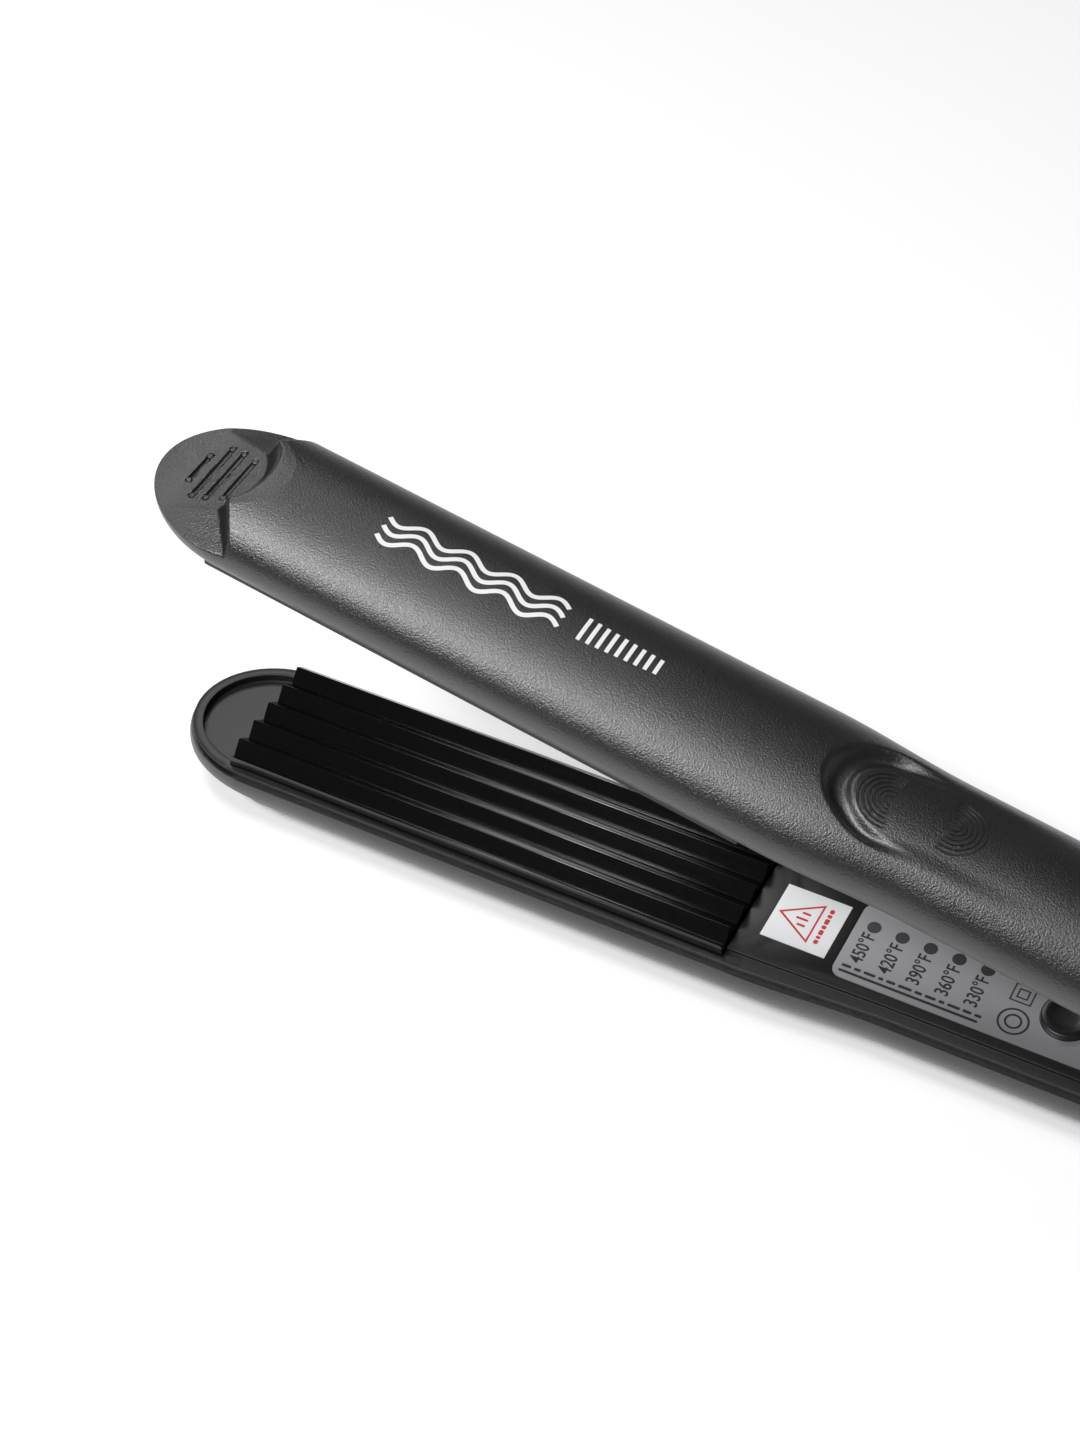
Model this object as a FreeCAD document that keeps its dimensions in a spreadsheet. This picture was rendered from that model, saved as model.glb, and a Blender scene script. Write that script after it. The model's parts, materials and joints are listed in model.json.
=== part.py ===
import FreeCAD, Part
import math
import os
import Sketcher

# Hair crimper: two slim arms on one hinge, each with a ridged plate, opened by a torsion spring.
# Frame: millimetres, +Z up, +X from the tips to the hinge, origin at the middle of the flat strip
# on the back of the lower arm, which is what the crimper lies on.
# Both arms are drawn in the lower arm's place. The upper arm's pieces are then turned over about
# the closing plane and swung open about the hinge axis.

SIZES = {
    # arm in plan and in section
    "strip_to_plate": 57.0,
    "plate_to_hinge": 230.5,
    "arm_half_width": 15.0,
    "arm_depth": 12.8,
    "shoulder_radius": 8.0,
    "knee_angle": 80.0,
    "strip_half_width": 3.5,
    "handle_narrowing": 1.3,
    "waist_gap": 4.0,
    "waist_length": 25.0,
    "wall": 1.8,
    "bulge_drop": 4.0,
    "parting_drop": 2.0,
    "parting_inset": 0.45,
    "rim_drop": 0.7,
    "rim_inset": 1.35,
    "deck_inset": 4.0,
    "deck_step": 0.2,
    # tip
    "tip_setback": 1.25,
    "tip_pad_drop": 3.2,
    "tip_pad_angle": 16.0,
    "tip_ramp_start": 2.5,
    "tip_ramp_length": 3.5,
    "tip_pocket_depth": 1.6,
    "tip_rim_width": 2.0,
    "tip_floor": 1.0,
    "tip_wall": 1.0,
    "tip_lap": 0.5,
    "seat_play": 0.05,
    "groove_count": 4,
    "groove_setback": 1.4,
    "groove_pitch": 2.6,
    "groove_width": 0.8,
    "groove_length": 14.0,
    # grip dish on the back of each arm
    "grip_from_plate": 131.0,
    "grip_radius": 120.0,
    "grip_depth": 1.6,
    # crimping plates
    "plate_length": 101.5,
    "ridge_count": 5,
    "ridge_pitch": 5.0,
    "ridge_height": 2.3,
    "crest_height": 3.0,
    "plate_seat": 0.8,
    "plate_gap": 0.3,
    "plate_drop": 0.1,
    "mesh_gap": 0.2,
    "lip_width": 1.5,
    "rail_reach": 8.2,
    "rail_thick": 1.5,
    "rail_height": 3.4,
    "rail_lip": 0.8,
    "rail_lip_thick": 0.8,
    "rail_setback": 8.0,
    # heater stack
    "heater_length": 70.0,
    "heater_width": 14.0,
    "heater_thick": 1.6,
    "clamp_thick": 0.4,
    "clamp_length": 60.0,
    "clamp_overhang": 1.0,
    "bow_reach": 3.0,
    "bow_top_reach": 0.6,
    "cushion_setback": 12.0,
    "cushion_radius": 2.6,
    "post_radius": 1.7,
    "post_height": 3.2,
    "sensor_radius": 0.75,
    "sensor_length": 4.0,
    "sensor_drop": 0.05,
    "fuse_radius": 1.9,
    "fuse_length": 9.0,
    "fuse_from_end": 24.0,
    "fuse_level": 3.2,
    "fuse_offset": 4.0,
    # label and control panel
    "label_size": 12.0,
    "label_thick": 0.1,
    "label_gap": 10.1,
    "panel_gap": 18.0,
    "panel_length": 55.0,
    "panel_half_width": 8.35,
    "panel_corner": 2.0,
    "panel_thick": 0.55,
    "panel_proud": 0.05,
    "window_count": 5,
    "window_pitch": 5.167,
    "window_radius": 1.215,
    "window_from_panel": 3.14,
    "window_offset": 3.67,
    "button_from_panel": 39.0,
    "button_radius": 4.35,
    "button_height": 1.3,
    "button_flange": 1.1,
    "button_flange_thick": 0.8,
    "button_edge": 0.6,
    "button_dome": 0.15,
    "button_stem_radius": 1.5,
    "button_play": 0.1,
    "button_travel": 0.5,
    # circuit board
    "board_length": 50.0,
    "board_width": 16.0,
    "board_thick": 1.6,
    "board_level": 5.0,
    "board_screw_reach": 22.0,
    "board_screw_offset": 5.0,
    "board_post_wall": 0.9,
    "switch_height": 1.6,
    "switch_reach": 3.0,
    "window_foot": 1.6,
    "chip_half_length": 0.8,
    "chip_half_width": 0.6,
    "chip_height": 1.1,
    # hinge
    "open_angle": 13.1,
    "cheek_radius": 13.3,
    "cheek_inner": 8.2,
    "knuckle_radius": 12.0,
    "knuckle_half_width": 7.6,
    "knuckle_room": 0.7,
    "pin_radius": 2.5,
    "pin_fit": 0.05,
    "press_fit": 0.01,
    "cap_radius": 6.0,
    "cap_depth": 1.2,
    "cap_proud": 0.3,
    "pin_end_room": 0.1,
    "neck_room": 0.4,
    "neck_back": 1.0,
    "cover_end_gap": 0.3,
    "washer_radius": 4.6,
    "washer_thick": 0.5,
    "spring_radius": 5.4,
    "spring_wire": 0.55,
    "spring_turns": 4,
    "spring_pitch": 1.5,
    "spring_leg": 12.0,
    "spring_fixed_leg": 14.3,
    "spring_pocket": 4.3,
    "stop_reach": 16.0,
    "stop_gap": 0.05,
    "stop_thick": 1.6,
    "stop_root": 6.0,
    "stop_root_reach": 11.4,
    # tail barrel and swivel gland
    "tail_start": 13.4,
    "tail_length": 22.0,
    "tail_radius": 12.5,
    "tail_end_radius": 10.0,
    "tail_wall": 2.0,
    "tail_chamfer": 2.0,
    "tail_lap": 3.0,
    "gland_radius": 6.0,
    "gland_flange_radius": 8.0,
    "gland_flange": 2.0,
    "gland_nose": 8.0,
    "gland_fit": 0.1,
    "gland_taper": 1.2,
    "gland_step": 0.5,
    "cord_bore_radius": 3.1,
    # fasteners and small parts
    "screw_head_radius": 2.2,
    "screw_head": 1.1,
    "screw_radius": 1.3,
    "screw_length": 6.0,
    "screw_point": 0.8,
    "screw_edge": 0.5,
    "screw_top_play": 0.05,
    "head_room": 0.2,
    "board_screw_length": 4.0,
    "boss_radius": 2.7,
    "boss_root": 0.1,
    "boss_floor": 2.0,
    "rear_screw_setback": 27.0,
    "rear_screw_spread": 6.0,
    "lead_radius": 0.75,
    "lead_spread": 2.6,
    "lead_from_heater": 2.0,
    "lead_end_room": 1.0,
    "lead_stop": 5.0,
}

# How far a cut or a sketch runs on past what it cuts.
PAST = "1"
FAR_PAST = "5"
# The spring's wire is drawn with flat sides, as straight steps around each turn.
SPRING_STEPS = 16
WIRE_SIDES = 12

doc = FreeCAD.newDocument("hair_crimper")
sheet = doc.addObject("Spreadsheet::Sheet", "Sizes")
for row, (alias, number) in enumerate(SIZES.items(), start=1):
    sheet.set("A%d" % row, alias)
    sheet.set("B%d" % row, str(number))
    sheet.setAlias("B%d" % row, alias)
doc.recompute()

made = []

# Places worked out from the sheet, as expressions. X first.
PLATE_START = "(-Sizes.strip_to_plate)"
PLATE_END = "(Sizes.plate_length - Sizes.strip_to_plate)"
TIP_X = "(-Sizes.strip_to_plate - Sizes.tip_setback)"
WAIST_START = "(%s + Sizes.waist_gap)" % PLATE_END
WAIST_END = "(%s + Sizes.waist_length)" % WAIST_START
HINGE_X = "(Sizes.plate_to_hinge - Sizes.strip_to_plate)"
PANEL_START = "(%s + Sizes.panel_gap)" % PLATE_END
BUTTON_X = "(%s + Sizes.button_from_panel)" % PANEL_START
LABEL_X = "(%s + Sizes.label_gap)" % PLATE_END
FORK_X = "(%s - Sizes.cheek_radius - 2 * Sizes.knuckle_room)" % HINGE_X
REAR_SCREW_X = "(%s - Sizes.rear_screw_setback)" % HINGE_X
TAIL_X = "(%s + Sizes.tail_start)" % HINGE_X
TAIL_END = "(%s + Sizes.tail_length)" % TAIL_X
GRIP_X = "(%s + Sizes.grip_from_plate)" % PLATE_START
# Heights above the face the crimper lies on.
DECK_Z = "Sizes.arm_depth"
CLOSING_Z = "(Sizes.arm_depth + Sizes.crest_height - Sizes.ridge_height / 2 + Sizes.mesh_gap / 2)"
RIM_Z = "(Sizes.arm_depth - Sizes.rim_drop)"
PARTING_Z = "(Sizes.arm_depth - Sizes.parting_drop)"
BULGE_Z = "(Sizes.arm_depth - Sizes.bulge_drop)"
SEAT_Z = "(Sizes.arm_depth - Sizes.plate_seat)"
PANEL_Z = "(Sizes.arm_depth + Sizes.panel_proud - Sizes.panel_thick)"
POCKET_Z = "(%s - Sizes.tip_pocket_depth)" % RIM_Z
BOARD_TOP = "(Sizes.board_level + Sizes.board_thick)"
# Half widths, and the reach of the sunk floor in the tip.
HANDLE_HALF = "(Sizes.arm_half_width - Sizes.handle_narrowing)"
TIP_REACH = "(Sizes.arm_half_width - Sizes.rim_inset - Sizes.tip_rim_width)"
PLATE_HALF = "(Sizes.ridge_pitch * Sizes.ridge_count / 2)"
OPENING_HALF = "(%s + Sizes.plate_gap)" % PLATE_HALF
# Wider than the arms, for cuts that go right across.
ACROSS = "(2 * Sizes.arm_half_width + 2 * %s)" % PAST


def at(expression):
    """The number that an expression on the sheet gives now."""
    return float(sheet.evalExpression(str(expression)))


def minus(expression):
    return "(-1 * %s)" % expression


def less(first, second):
    return "(%s - %s)" % (first, second)


# ---------------------------------------------------------------- drawing helpers

def new_body(label):
    body = doc.addObject("PartDesign::Body", label)
    body.Label = label
    body.AllowCompound = True
    return body


def new_sketch(body, role, offset=None, shift=None):
    """An empty sketch on one of the body's own origin planes, moved along its normal by offset."""
    sketch = body.newObject("Sketcher::SketchObject", body.Label + "_sketch")
    plane = [f for f in body.Origin.OriginFeatures if f.Role == role][0]
    sketch.AttachmentSupport = [(plane, "")]
    sketch.MapMode = "FlatFace"
    if offset is not None:
        sketch.setExpression("AttachmentOffset.Base.z", offset)
    if shift is not None:
        sketch.setExpression("AttachmentOffset.Base.x", shift)
    return sketch


def pin_point(sketch, shape, end, x, y):
    """Holds one point of a sketch at a place given by two expressions."""
    for kind, expression, axis in (("DistanceX", x, -2), ("DistanceY", y, -1)):
        number = at(expression)
        if abs(number) < 1e-9:
            sketch.addConstraint(Sketcher.Constraint("PointOnObject", shape, end, axis))
            continue
        index = sketch.addConstraint(Sketcher.Constraint(kind, -1, 1, shape, end, number))
        sketch.setExpression("Constraints[%d]" % index, expression)


def draw(sketch, corners, closed=True):
    """Draws a chain of lines; a corner's third entry bends the side that follows it.

    The third entry is a radius expression, positive for a side that turns left.
    """
    count = len(corners)
    first = sketch.GeometryCount
    sides = count if closed else count - 1
    for i in range(sides):
        here = corners[i]
        there = corners[(i + 1) % count]
        start = FreeCAD.Vector(at(here[0]), at(here[1]), 0)
        end = FreeCAD.Vector(at(there[0]), at(there[1]), 0)
        if len(here) == 2:
            sketch.addGeometry(Part.LineSegment(start, end))
            continue
        radius = abs(at(here[2]))
        turns_left = at(here[2]) > 0
        chord = end - start
        across = FreeCAD.Vector(-chord.y, chord.x, 0).normalize()
        rise = math.sqrt(max(radius ** 2 - (chord.Length / 2) ** 2, 0))
        centre = start + chord * 0.5 + across * (rise if turns_left else -rise)
        angle = [math.atan2(p.y - centre.y, p.x - centre.x) for p in (start, end)]
        if not turns_left:
            angle.reverse()
        circle = Part.Circle(centre, FreeCAD.Vector(0, 0, 1), radius)
        sketch.addGeometry(Part.ArcOfCircle(circle, angle[0], angle[1]))
        size = here[2] if turns_left else minus(here[2])
        index = sketch.addConstraint(Sketcher.Constraint("Radius", first + i, radius))
        sketch.setExpression("Constraints[%d]" % index, size)

    def ends(i):
        bent = len(corners[i % count]) == 3
        backwards = bent and at(corners[i % count][2]) < 0
        return (2, 1) if backwards else (1, 2)

    for i in range(sides):
        pin_point(sketch, first + i, ends(i)[0], corners[i][0], corners[i][1])
    if not closed:
        pin_point(sketch, first + sides - 1, ends(sides - 1)[1], *corners[-1][:2])
    for i in range(sides if closed else sides - 1):
        j = (i + 1) % sides
        sketch.addConstraint(
            Sketcher.Constraint("Coincident", first + i, ends(i)[1], first + j, ends(j)[0]))
    return sketch


def draw_circle(sketch, x, y, radius):
    circle = Part.Circle(FreeCAD.Vector(at(x), at(y), 0), FreeCAD.Vector(0, 0, 1), at(radius))
    index = sketch.addGeometry(circle)
    size = sketch.addConstraint(Sketcher.Constraint("Radius", index, at(radius)))
    sketch.setExpression("Constraints[%d]" % size, radius)
    pin_point(sketch, index, 3, x, y)
    return sketch


def draw_box(sketch, x0, x1, y0, y1):
    return draw(sketch, [(x0, y0), (x1, y0), (x1, y1), (x0, y1)])


def grow(body, sketch, length, cut=False, backwards=False, both=False):
    """Pad or pocket of one sketch. It always runs along the sketch's normal unless backwards."""
    kind = "PartDesign::Pocket" if cut else "PartDesign::Pad"
    feature = body.newObject(kind, body.Label + ("_pocket" if cut else "_pad"))
    feature.Profile = sketch
    feature.setExpression("Length", str(length))
    feature.Midplane = both
    feature.Reversed = backwards if not cut else not backwards
    sketch.Visibility = False
    return feature


def spin(body, sketch, axis="V_Axis", cut=False, angle=360, both=False):
    kind = "PartDesign::Groove" if cut else "PartDesign::Revolution"
    feature = body.newObject(kind, body.Label + ("_groove" if cut else "_turn"))
    feature.Profile = sketch
    feature.ReferenceAxis = (sketch, [axis])
    feature.Angle = angle
    feature.Midplane = both
    return feature


def loft(body, first, second, cut=False):
    kind = "PartDesign::SubtractiveLoft" if cut else "PartDesign::AdditiveLoft"
    feature = body.newObject(kind, body.Label + "_loft")
    feature.Profile = first
    feature.Sections = [second]
    feature.Ruled = True
    return feature


def box_cut(body, role, offset, length, x0, x1, y0, y1):
    """Cuts a rectangular hole that starts at offset and runs along the plane's normal."""
    sketch = draw_box(new_sketch(body, role, offset), x0, x1, y0, y1)
    return grow(body, sketch, length, cut=True)


def box_pad(body, role, offset, length, x0, x1, y0, y1):
    sketch = draw_box(new_sketch(body, role, offset), x0, x1, y0, y1)
    return grow(body, sketch, length)


def round_cut(body, role, offset, length, places, radius):
    sketch = new_sketch(body, role, offset)
    for x, y in places:
        draw_circle(sketch, x, y, radius)
    return grow(body, sketch, length, cut=True)


def round_pad(body, role, offset, length, places, radius):
    sketch = new_sketch(body, role, offset)
    for x, y in places:
        draw_circle(sketch, x, y, radius)
    return grow(body, sketch, length)


def open_over():
    """Turns a piece over about the closing plane, then swings it open about the hinge."""
    hinge = FreeCAD.Vector(at(HINGE_X), 0, at(CLOSING_Z))
    about_hinge = FreeCAD.Placement(hinge, FreeCAD.Rotation())
    over = FreeCAD.Rotation(FreeCAD.Vector(1, 0, 0), 180)
    swing = FreeCAD.Rotation(FreeCAD.Vector(0, 1, 0), at("Sizes.open_angle"))
    turned = FreeCAD.Placement(FreeCAD.Vector(), swing.multiply(over))
    return about_hinge.multiply(turned).multiply(about_hinge.inverse())


def keep(piece, upper=False):
    """Marks a finished sub-part, in its place; the upper arm's pieces go over to that arm."""
    if upper:
        piece.Placement = open_over().multiply(piece.Placement)
    made.append(piece)
    return piece


def gather(label, pieces, upper=False):
    """Several separate solids that share one node."""
    group = doc.addObject("Part::Compound", label)
    group.Label = label
    group.Links = pieces
    return keep(group, upper)


# ---------------------------------------------------------------- the arm's section

def knee(half, inset):
    radius = "(Sizes.shoulder_radius - %s)" % inset
    y = "(%s - Sizes.shoulder_radius + %s * cos(Sizes.knee_angle))" % (half, radius)
    z = "(%s - %s * sin(Sizes.knee_angle))" % (BULGE_Z, radius)
    return y, z


def half_section(half, inset):
    """One side of the shell from the strip up to the parting line, as (out, up, bend)."""
    knee_y, knee_z = knee(half, inset)
    bend = "(Sizes.shoulder_radius - %s)" % inset
    return [
        ("Sizes.strip_half_width", "(0 + %s)" % inset),
        (knee_y, knee_z, bend),
        ("(%s - %s)" % (half, inset), BULGE_Z),
        ("(%s - Sizes.parting_inset - %s)" % (half, inset), PARTING_Z),
    ]


def section(sketch, half, inset):
    """The whole section of the shell, across the arm."""
    right = half_section(half, inset)
    left = [(minus(y), z) for y, z in [c[:2] for c in reversed(right)]]
    left[1] = left[1] + (right[1][2],)
    return draw(sketch, right + left)


def arm_solid(body, inset, rear, cut=False, tip=True):
    """The outside of a shell, or with an inset its hollow: tip, plate part, waist and handle."""
    half = "Sizes.arm_half_width"
    start = TIP_X if tip else "(%s + Sizes.tip_ramp_start + Sizes.tip_ramp_length)" % PLATE_START
    if tip:
        outline = new_sketch(body, "XZ_Plane", shift=TIP_X)
        side = half_section(half, inset)
        corners = [("0", "(0 + %s)" % inset)] + [(minus(c[0]),) + c[1:] for c in side]
        corners[2] = corners[2][:2] + (minus(side[1][2]),)
        corners.append(("0", PARTING_Z))
        spin(body, draw(outline, corners), cut=cut, angle=180, both=True)
    plain = section(new_sketch(body, "YZ_Plane", start), half, inset)
    grow(body, plain, less(WAIST_START, start), cut=cut)
    wide = section(new_sketch(body, "YZ_Plane", WAIST_START), half, inset)
    slim = section(new_sketch(body, "YZ_Plane", WAIST_END), HANDLE_HALF, inset)
    loft(body, wide, slim, cut=cut)
    handle = section(new_sketch(body, "YZ_Plane", WAIST_END), HANDLE_HALF, inset)
    grow(body, handle, less(rear, WAIST_END), cut=cut)


def tip_pad_cut(body):
    """The sloping pad on the back of the tip, its ramp up to the back and its grip grooves."""
    slope = "tan(Sizes.tip_pad_angle)"
    nose_x = "(%s - Sizes.arm_half_width - %s)" % (TIP_X, PAST)
    nose_z = "(Sizes.arm_depth - Sizes.tip_pad_drop + %s)" % slope
    ramp_x = "(%s + Sizes.tip_ramp_start)" % PLATE_START
    run = "(%s - %s)" % (ramp_x, nose_x)
    ramp_z = "(%s - %s * %s)" % (nose_z, run, slope)
    back_x = "(%s + Sizes.tip_ramp_length)" % ramp_x
    wedge = new_sketch(body, "XZ_Plane")
    below = minus(PAST)
    draw(wedge, [
        (nose_x, below), (back_x, below), (back_x, "0"), (ramp_x, ramp_z), (nose_x, nose_z)])
    grow(body, wedge, ACROSS, cut=True, both=True)
    for i in range(int(at("Sizes.groove_count"))):
        x = "(%s - Sizes.groove_setback - %d * Sizes.groove_pitch)" % (PLATE_START, i)
        z = "(%s - (%s - %s) * %s)" % (nose_z, x, nose_x, slope)
        groove = new_sketch(body, "XZ_Plane")
        draw_circle(groove, x, z, "(Sizes.groove_width / 2)")
        length = "(Sizes.groove_length - %d)" % i
        grow(body, groove, length, cut=True, both=True)


def grip_cut(body):
    """The shallow thumb dish across the back of the handle, just behind the plate."""
    dish = new_sketch(body, "XZ_Plane")
    draw_circle(dish, GRIP_X, "(Sizes.grip_depth - Sizes.grip_radius)", "Sizes.grip_radius")
    grow(body, dish, ACROSS, cut=True, both=True)


def corner_places(inset):
    """The four places under the plate's corners, at the middle of its rails."""
    side = "(Sizes.rail_reach + Sizes.rail_thick / 2)"
    front = "(%s + Sizes.%s)" % (PLATE_START, inset)
    rear = "(%s - Sizes.%s)" % (PLATE_END, inset)
    return [(x, y) for x in (front, rear) for y in (side, minus(side))]


def screw_places():
    return [
        (LABEL_X, "0"),
        (REAR_SCREW_X, "Sizes.rear_screw_spread"),
        (REAR_SCREW_X, "(-Sizes.rear_screw_spread)"),
    ]


def board_screw_places():
    middle = "(%s + Sizes.panel_length / 2)" % PANEL_START
    return [
        ("(%s + %s * Sizes.board_screw_reach)" % (middle, side),
         "(%s * Sizes.board_screw_offset)" % side)
        for side in ("-1", "1")
    ]


def shell_inside(body):
    """Hollow, cushion posts and screw bosses, the same in both shells."""
    arm_solid(body, "Sizes.wall", "(%s - Sizes.wall)" % FORK_X, cut=True, tip=False)
    well = new_sketch(body, "XY_Plane", "(%s - Sizes.tip_floor - Sizes.seat_play)" % POCKET_Z)
    reach = "(%s + Sizes.tip_wall + Sizes.seat_play)" % TIP_REACH
    draw(well, tip_outline(reach, "Sizes.tip_ramp_start + Sizes.tip_ramp_length + %s" % PAST))
    grow(body, well, "Sizes.arm_depth", cut=True)
    root = "(Sizes.wall - Sizes.boss_root)"
    round_pad(body, "XY_Plane", root, "(Sizes.post_height + Sizes.boss_root)",
              corner_places("cushion_setback"), "Sizes.post_radius")
    round_pad(body, "XY_Plane", root, less(PARTING_Z, root), screw_places(), "Sizes.boss_radius")
    depth = "(%s - Sizes.boss_floor)" % PARTING_Z
    round_cut(body, "XY_Plane", "Sizes.boss_floor", depth, screw_places(),
              "(Sizes.screw_radius + Sizes.press_fit)")


# ---------------------------------------------------------------- lower shell

def lower_shell():
    body = new_body("lower_shell")
    rear = "(%s + Sizes.tail_lap)" % TAIL_X
    arm_solid(body, "0", rear)
    # two round cheeks that carry the pin, and the lower half of the tail barrel
    for side in ("1", "-1"):
        cheek = new_sketch(body, "XZ_Plane", "(%s * Sizes.cheek_inner)" % side)
        draw_circle(cheek, HINGE_X, CLOSING_Z, "Sizes.cheek_radius")
        grow(body, cheek, "(%s - Sizes.cheek_inner)" % HANDLE_HALF, backwards=(side == "-1"))
    half_barrel(body, upper=False)
    tip_pad_cut(body)
    grip_cut(body)
    shell_inside(body)
    knuckle_room = new_sketch(body, "XZ_Plane")
    room = "(Sizes.knuckle_radius + Sizes.knuckle_room)"
    draw_circle(knuckle_room, HINGE_X, CLOSING_Z, room)
    grow(body, knuckle_room, "2 * Sizes.cheek_inner", cut=True, both=True)
    # the slot in the root of the fork that the fixed leg of the spring lies in
    leg_z = "(%s - Sizes.spring_radius - Sizes.spring_wire - Sizes.seat_play)" % CLOSING_Z
    box_cut(body, "XY_Plane", leg_z, "Sizes.arm_depth",
            "(%s - Sizes.spring_fixed_leg - Sizes.head_room)" % HINGE_X, HINGE_X,
            "(Sizes.spring_pocket / 2)", "Sizes.spring_pocket")
    # holes for the pin and seats for the caps
    bore = new_sketch(body, "XZ_Plane")
    draw_circle(bore, HINGE_X, CLOSING_Z, "(Sizes.pin_radius + Sizes.press_fit)")
    grow(body, bore, ACROSS, cut=True, both=True)
    for side in ("1", "-1"):
        seat = new_sketch(body, "XZ_Plane", "(%s * (%s - Sizes.cap_depth))" % (side, HANDLE_HALF))
        draw_circle(seat, HINGE_X, CLOSING_Z, "Sizes.cap_radius")
        grow(body, seat, FAR_PAST, cut=True, backwards=(side == "-1"))
    barrel_hollow(body)
    # posts for the circuit board
    places = board_screw_places()
    root = "(Sizes.wall - Sizes.boss_root)"
    round_pad(body, "XY_Plane", root, less("Sizes.board_level", root), places,
              "(Sizes.screw_radius + Sizes.board_post_wall)")
    round_cut(body, "XY_Plane", "Sizes.boss_floor", "Sizes.board_level", places,
              "(Sizes.screw_radius + Sizes.press_fit)")
    return keep(body)


def half_barrel(body, upper):
    """Half of the tapered tail barrel, turned about the line of the cord."""
    outline = new_sketch(body, "XY_Plane", CLOSING_Z)
    draw(outline, [
        (TAIL_X, "0"),
        (TAIL_END, "0"),
        (TAIL_END, "(Sizes.tail_end_radius - Sizes.tail_chamfer)"),
        ("(%s - Sizes.tail_chamfer)" % TAIL_END, "Sizes.tail_end_radius"),
        ("(%s + Sizes.tail_wall)" % TAIL_X, "Sizes.tail_radius"),
        (TAIL_X, "Sizes.tail_radius"),
    ])
    turn = spin(body, outline, axis="H_Axis", angle=180)
    turn.Reversed = not upper
    return turn


def barrel_hollow(body):
    """Chamber for the flange of the gland, with a round door for its sleeve."""
    chamber = new_sketch(body, "YZ_Plane", "(%s + Sizes.tail_wall)" % TAIL_X)
    draw_circle(chamber, "0", CLOSING_Z, "(Sizes.gland_flange_radius + Sizes.gland_fit)")
    grow(body, chamber, "(Sizes.tail_length - 2 * Sizes.tail_wall)", cut=True)
    door = new_sketch(body, "YZ_Plane", "(%s + Sizes.tail_wall)" % TAIL_X)
    draw_circle(door, "0", CLOSING_Z, "(Sizes.gland_radius + Sizes.gland_fit)")
    grow(body, door, "Sizes.tail_length", cut=True)


def tail_cover():
    body = new_body("tail_cover")
    half_barrel(body, upper=True)
    barrel_hollow(body)
    return keep(body)


# ---------------------------------------------------------------- upper shell

def upper_shell():
    body = new_body("upper_shell")
    arm_solid(body, "0", FORK_X)
    tip_pad_cut(body)
    grip_cut(body)
    shell_inside(body)
    knuckle_half = "2 * Sizes.knuckle_half_width"
    neck = new_sketch(body, "XZ_Plane")
    draw_box(neck, FORK_X, HINGE_X, "Sizes.neck_back", "(%s - Sizes.neck_room)" % CLOSING_Z)
    grow(body, neck, knuckle_half, both=True)
    knuckle = new_sketch(body, "XZ_Plane")
    draw_circle(knuckle, HINGE_X, CLOSING_Z, "Sizes.knuckle_radius")
    grow(body, knuckle, knuckle_half, both=True)
    stop_lug(body)
    # slot for the spring, open below and in front
    pocket = new_sketch(body, "XZ_Plane")
    reach = "(Sizes.spring_radius + 2 * Sizes.spring_wire)"
    draw_box(pocket, "(%s - Sizes.spring_leg - 2 * %s)" % (HINGE_X, PAST),
             "(%s + %s)" % (HINGE_X, reach), "(%s - %s)" % (CLOSING_Z, reach),
             "(%s + Sizes.arm_half_width)" % CLOSING_Z)
    grow(body, pocket, "2 * Sizes.spring_pocket", cut=True, both=True)
    bore = new_sketch(body, "XZ_Plane")
    draw_circle(bore, HINGE_X, CLOSING_Z, "(Sizes.pin_radius + Sizes.pin_fit)")
    grow(body, bore, ACROSS, cut=True, both=True)
    return keep(body, upper=True)


def stop_lug(body):
    """A lug behind the knuckle that comes down on the tail cover when the arm is open."""
    level = "(Sizes.tail_radius + Sizes.stop_gap)"
    corners = []
    top = "(%s + Sizes.stop_thick)" % level
    for x, z in (("0", "Sizes.stop_root"), ("Sizes.stop_root_reach", level),
                 ("Sizes.stop_reach", level), ("Sizes.stop_reach", top), ("0", top)):
        across = "(%s * cos(Sizes.open_angle) - %s * sin(Sizes.open_angle))" % (x, z)
        up = "(%s * sin(Sizes.open_angle) + %s * cos(Sizes.open_angle))" % (x, z)
        corners.append(("(%s + %s)" % (HINGE_X, across), "(%s - %s)" % (CLOSING_Z, up)))
    lug = draw(new_sketch(body, "XZ_Plane"), corners)
    grow(body, lug, "2 * Sizes.knuckle_half_width", both=True)


# ---------------------------------------------------------------- inner covers

def plan(half, rear, tip_radius):
    """Outline of an inner cover in plan: round tip, straight sides, waist and handle."""
    narrow = "(%s - Sizes.handle_narrowing)" % half
    return [
        (TIP_X, tip_radius, tip_radius),
        ("(%s - %s)" % (TIP_X, tip_radius), "0", tip_radius),
        (TIP_X, minus(tip_radius)),
        (WAIST_START, minus(half)),
        (WAIST_END, minus(narrow)),
        (rear, minus(narrow)),
        (rear, narrow),
        (WAIST_END, narrow),
        (WAIST_START, half),
    ]


def tip_outline(reach, past):
    """Half round of the given reach, closed a little past the start of the plate."""
    end = "(%s + %s)" % (PLATE_START, past)
    return [
        (TIP_X, reach, reach),
        ("(%s - %s)" % (TIP_X, reach), "0", reach),
        (TIP_X, minus(reach)),
        (end, minus(reach)),
        (end, reach),
    ]


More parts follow.
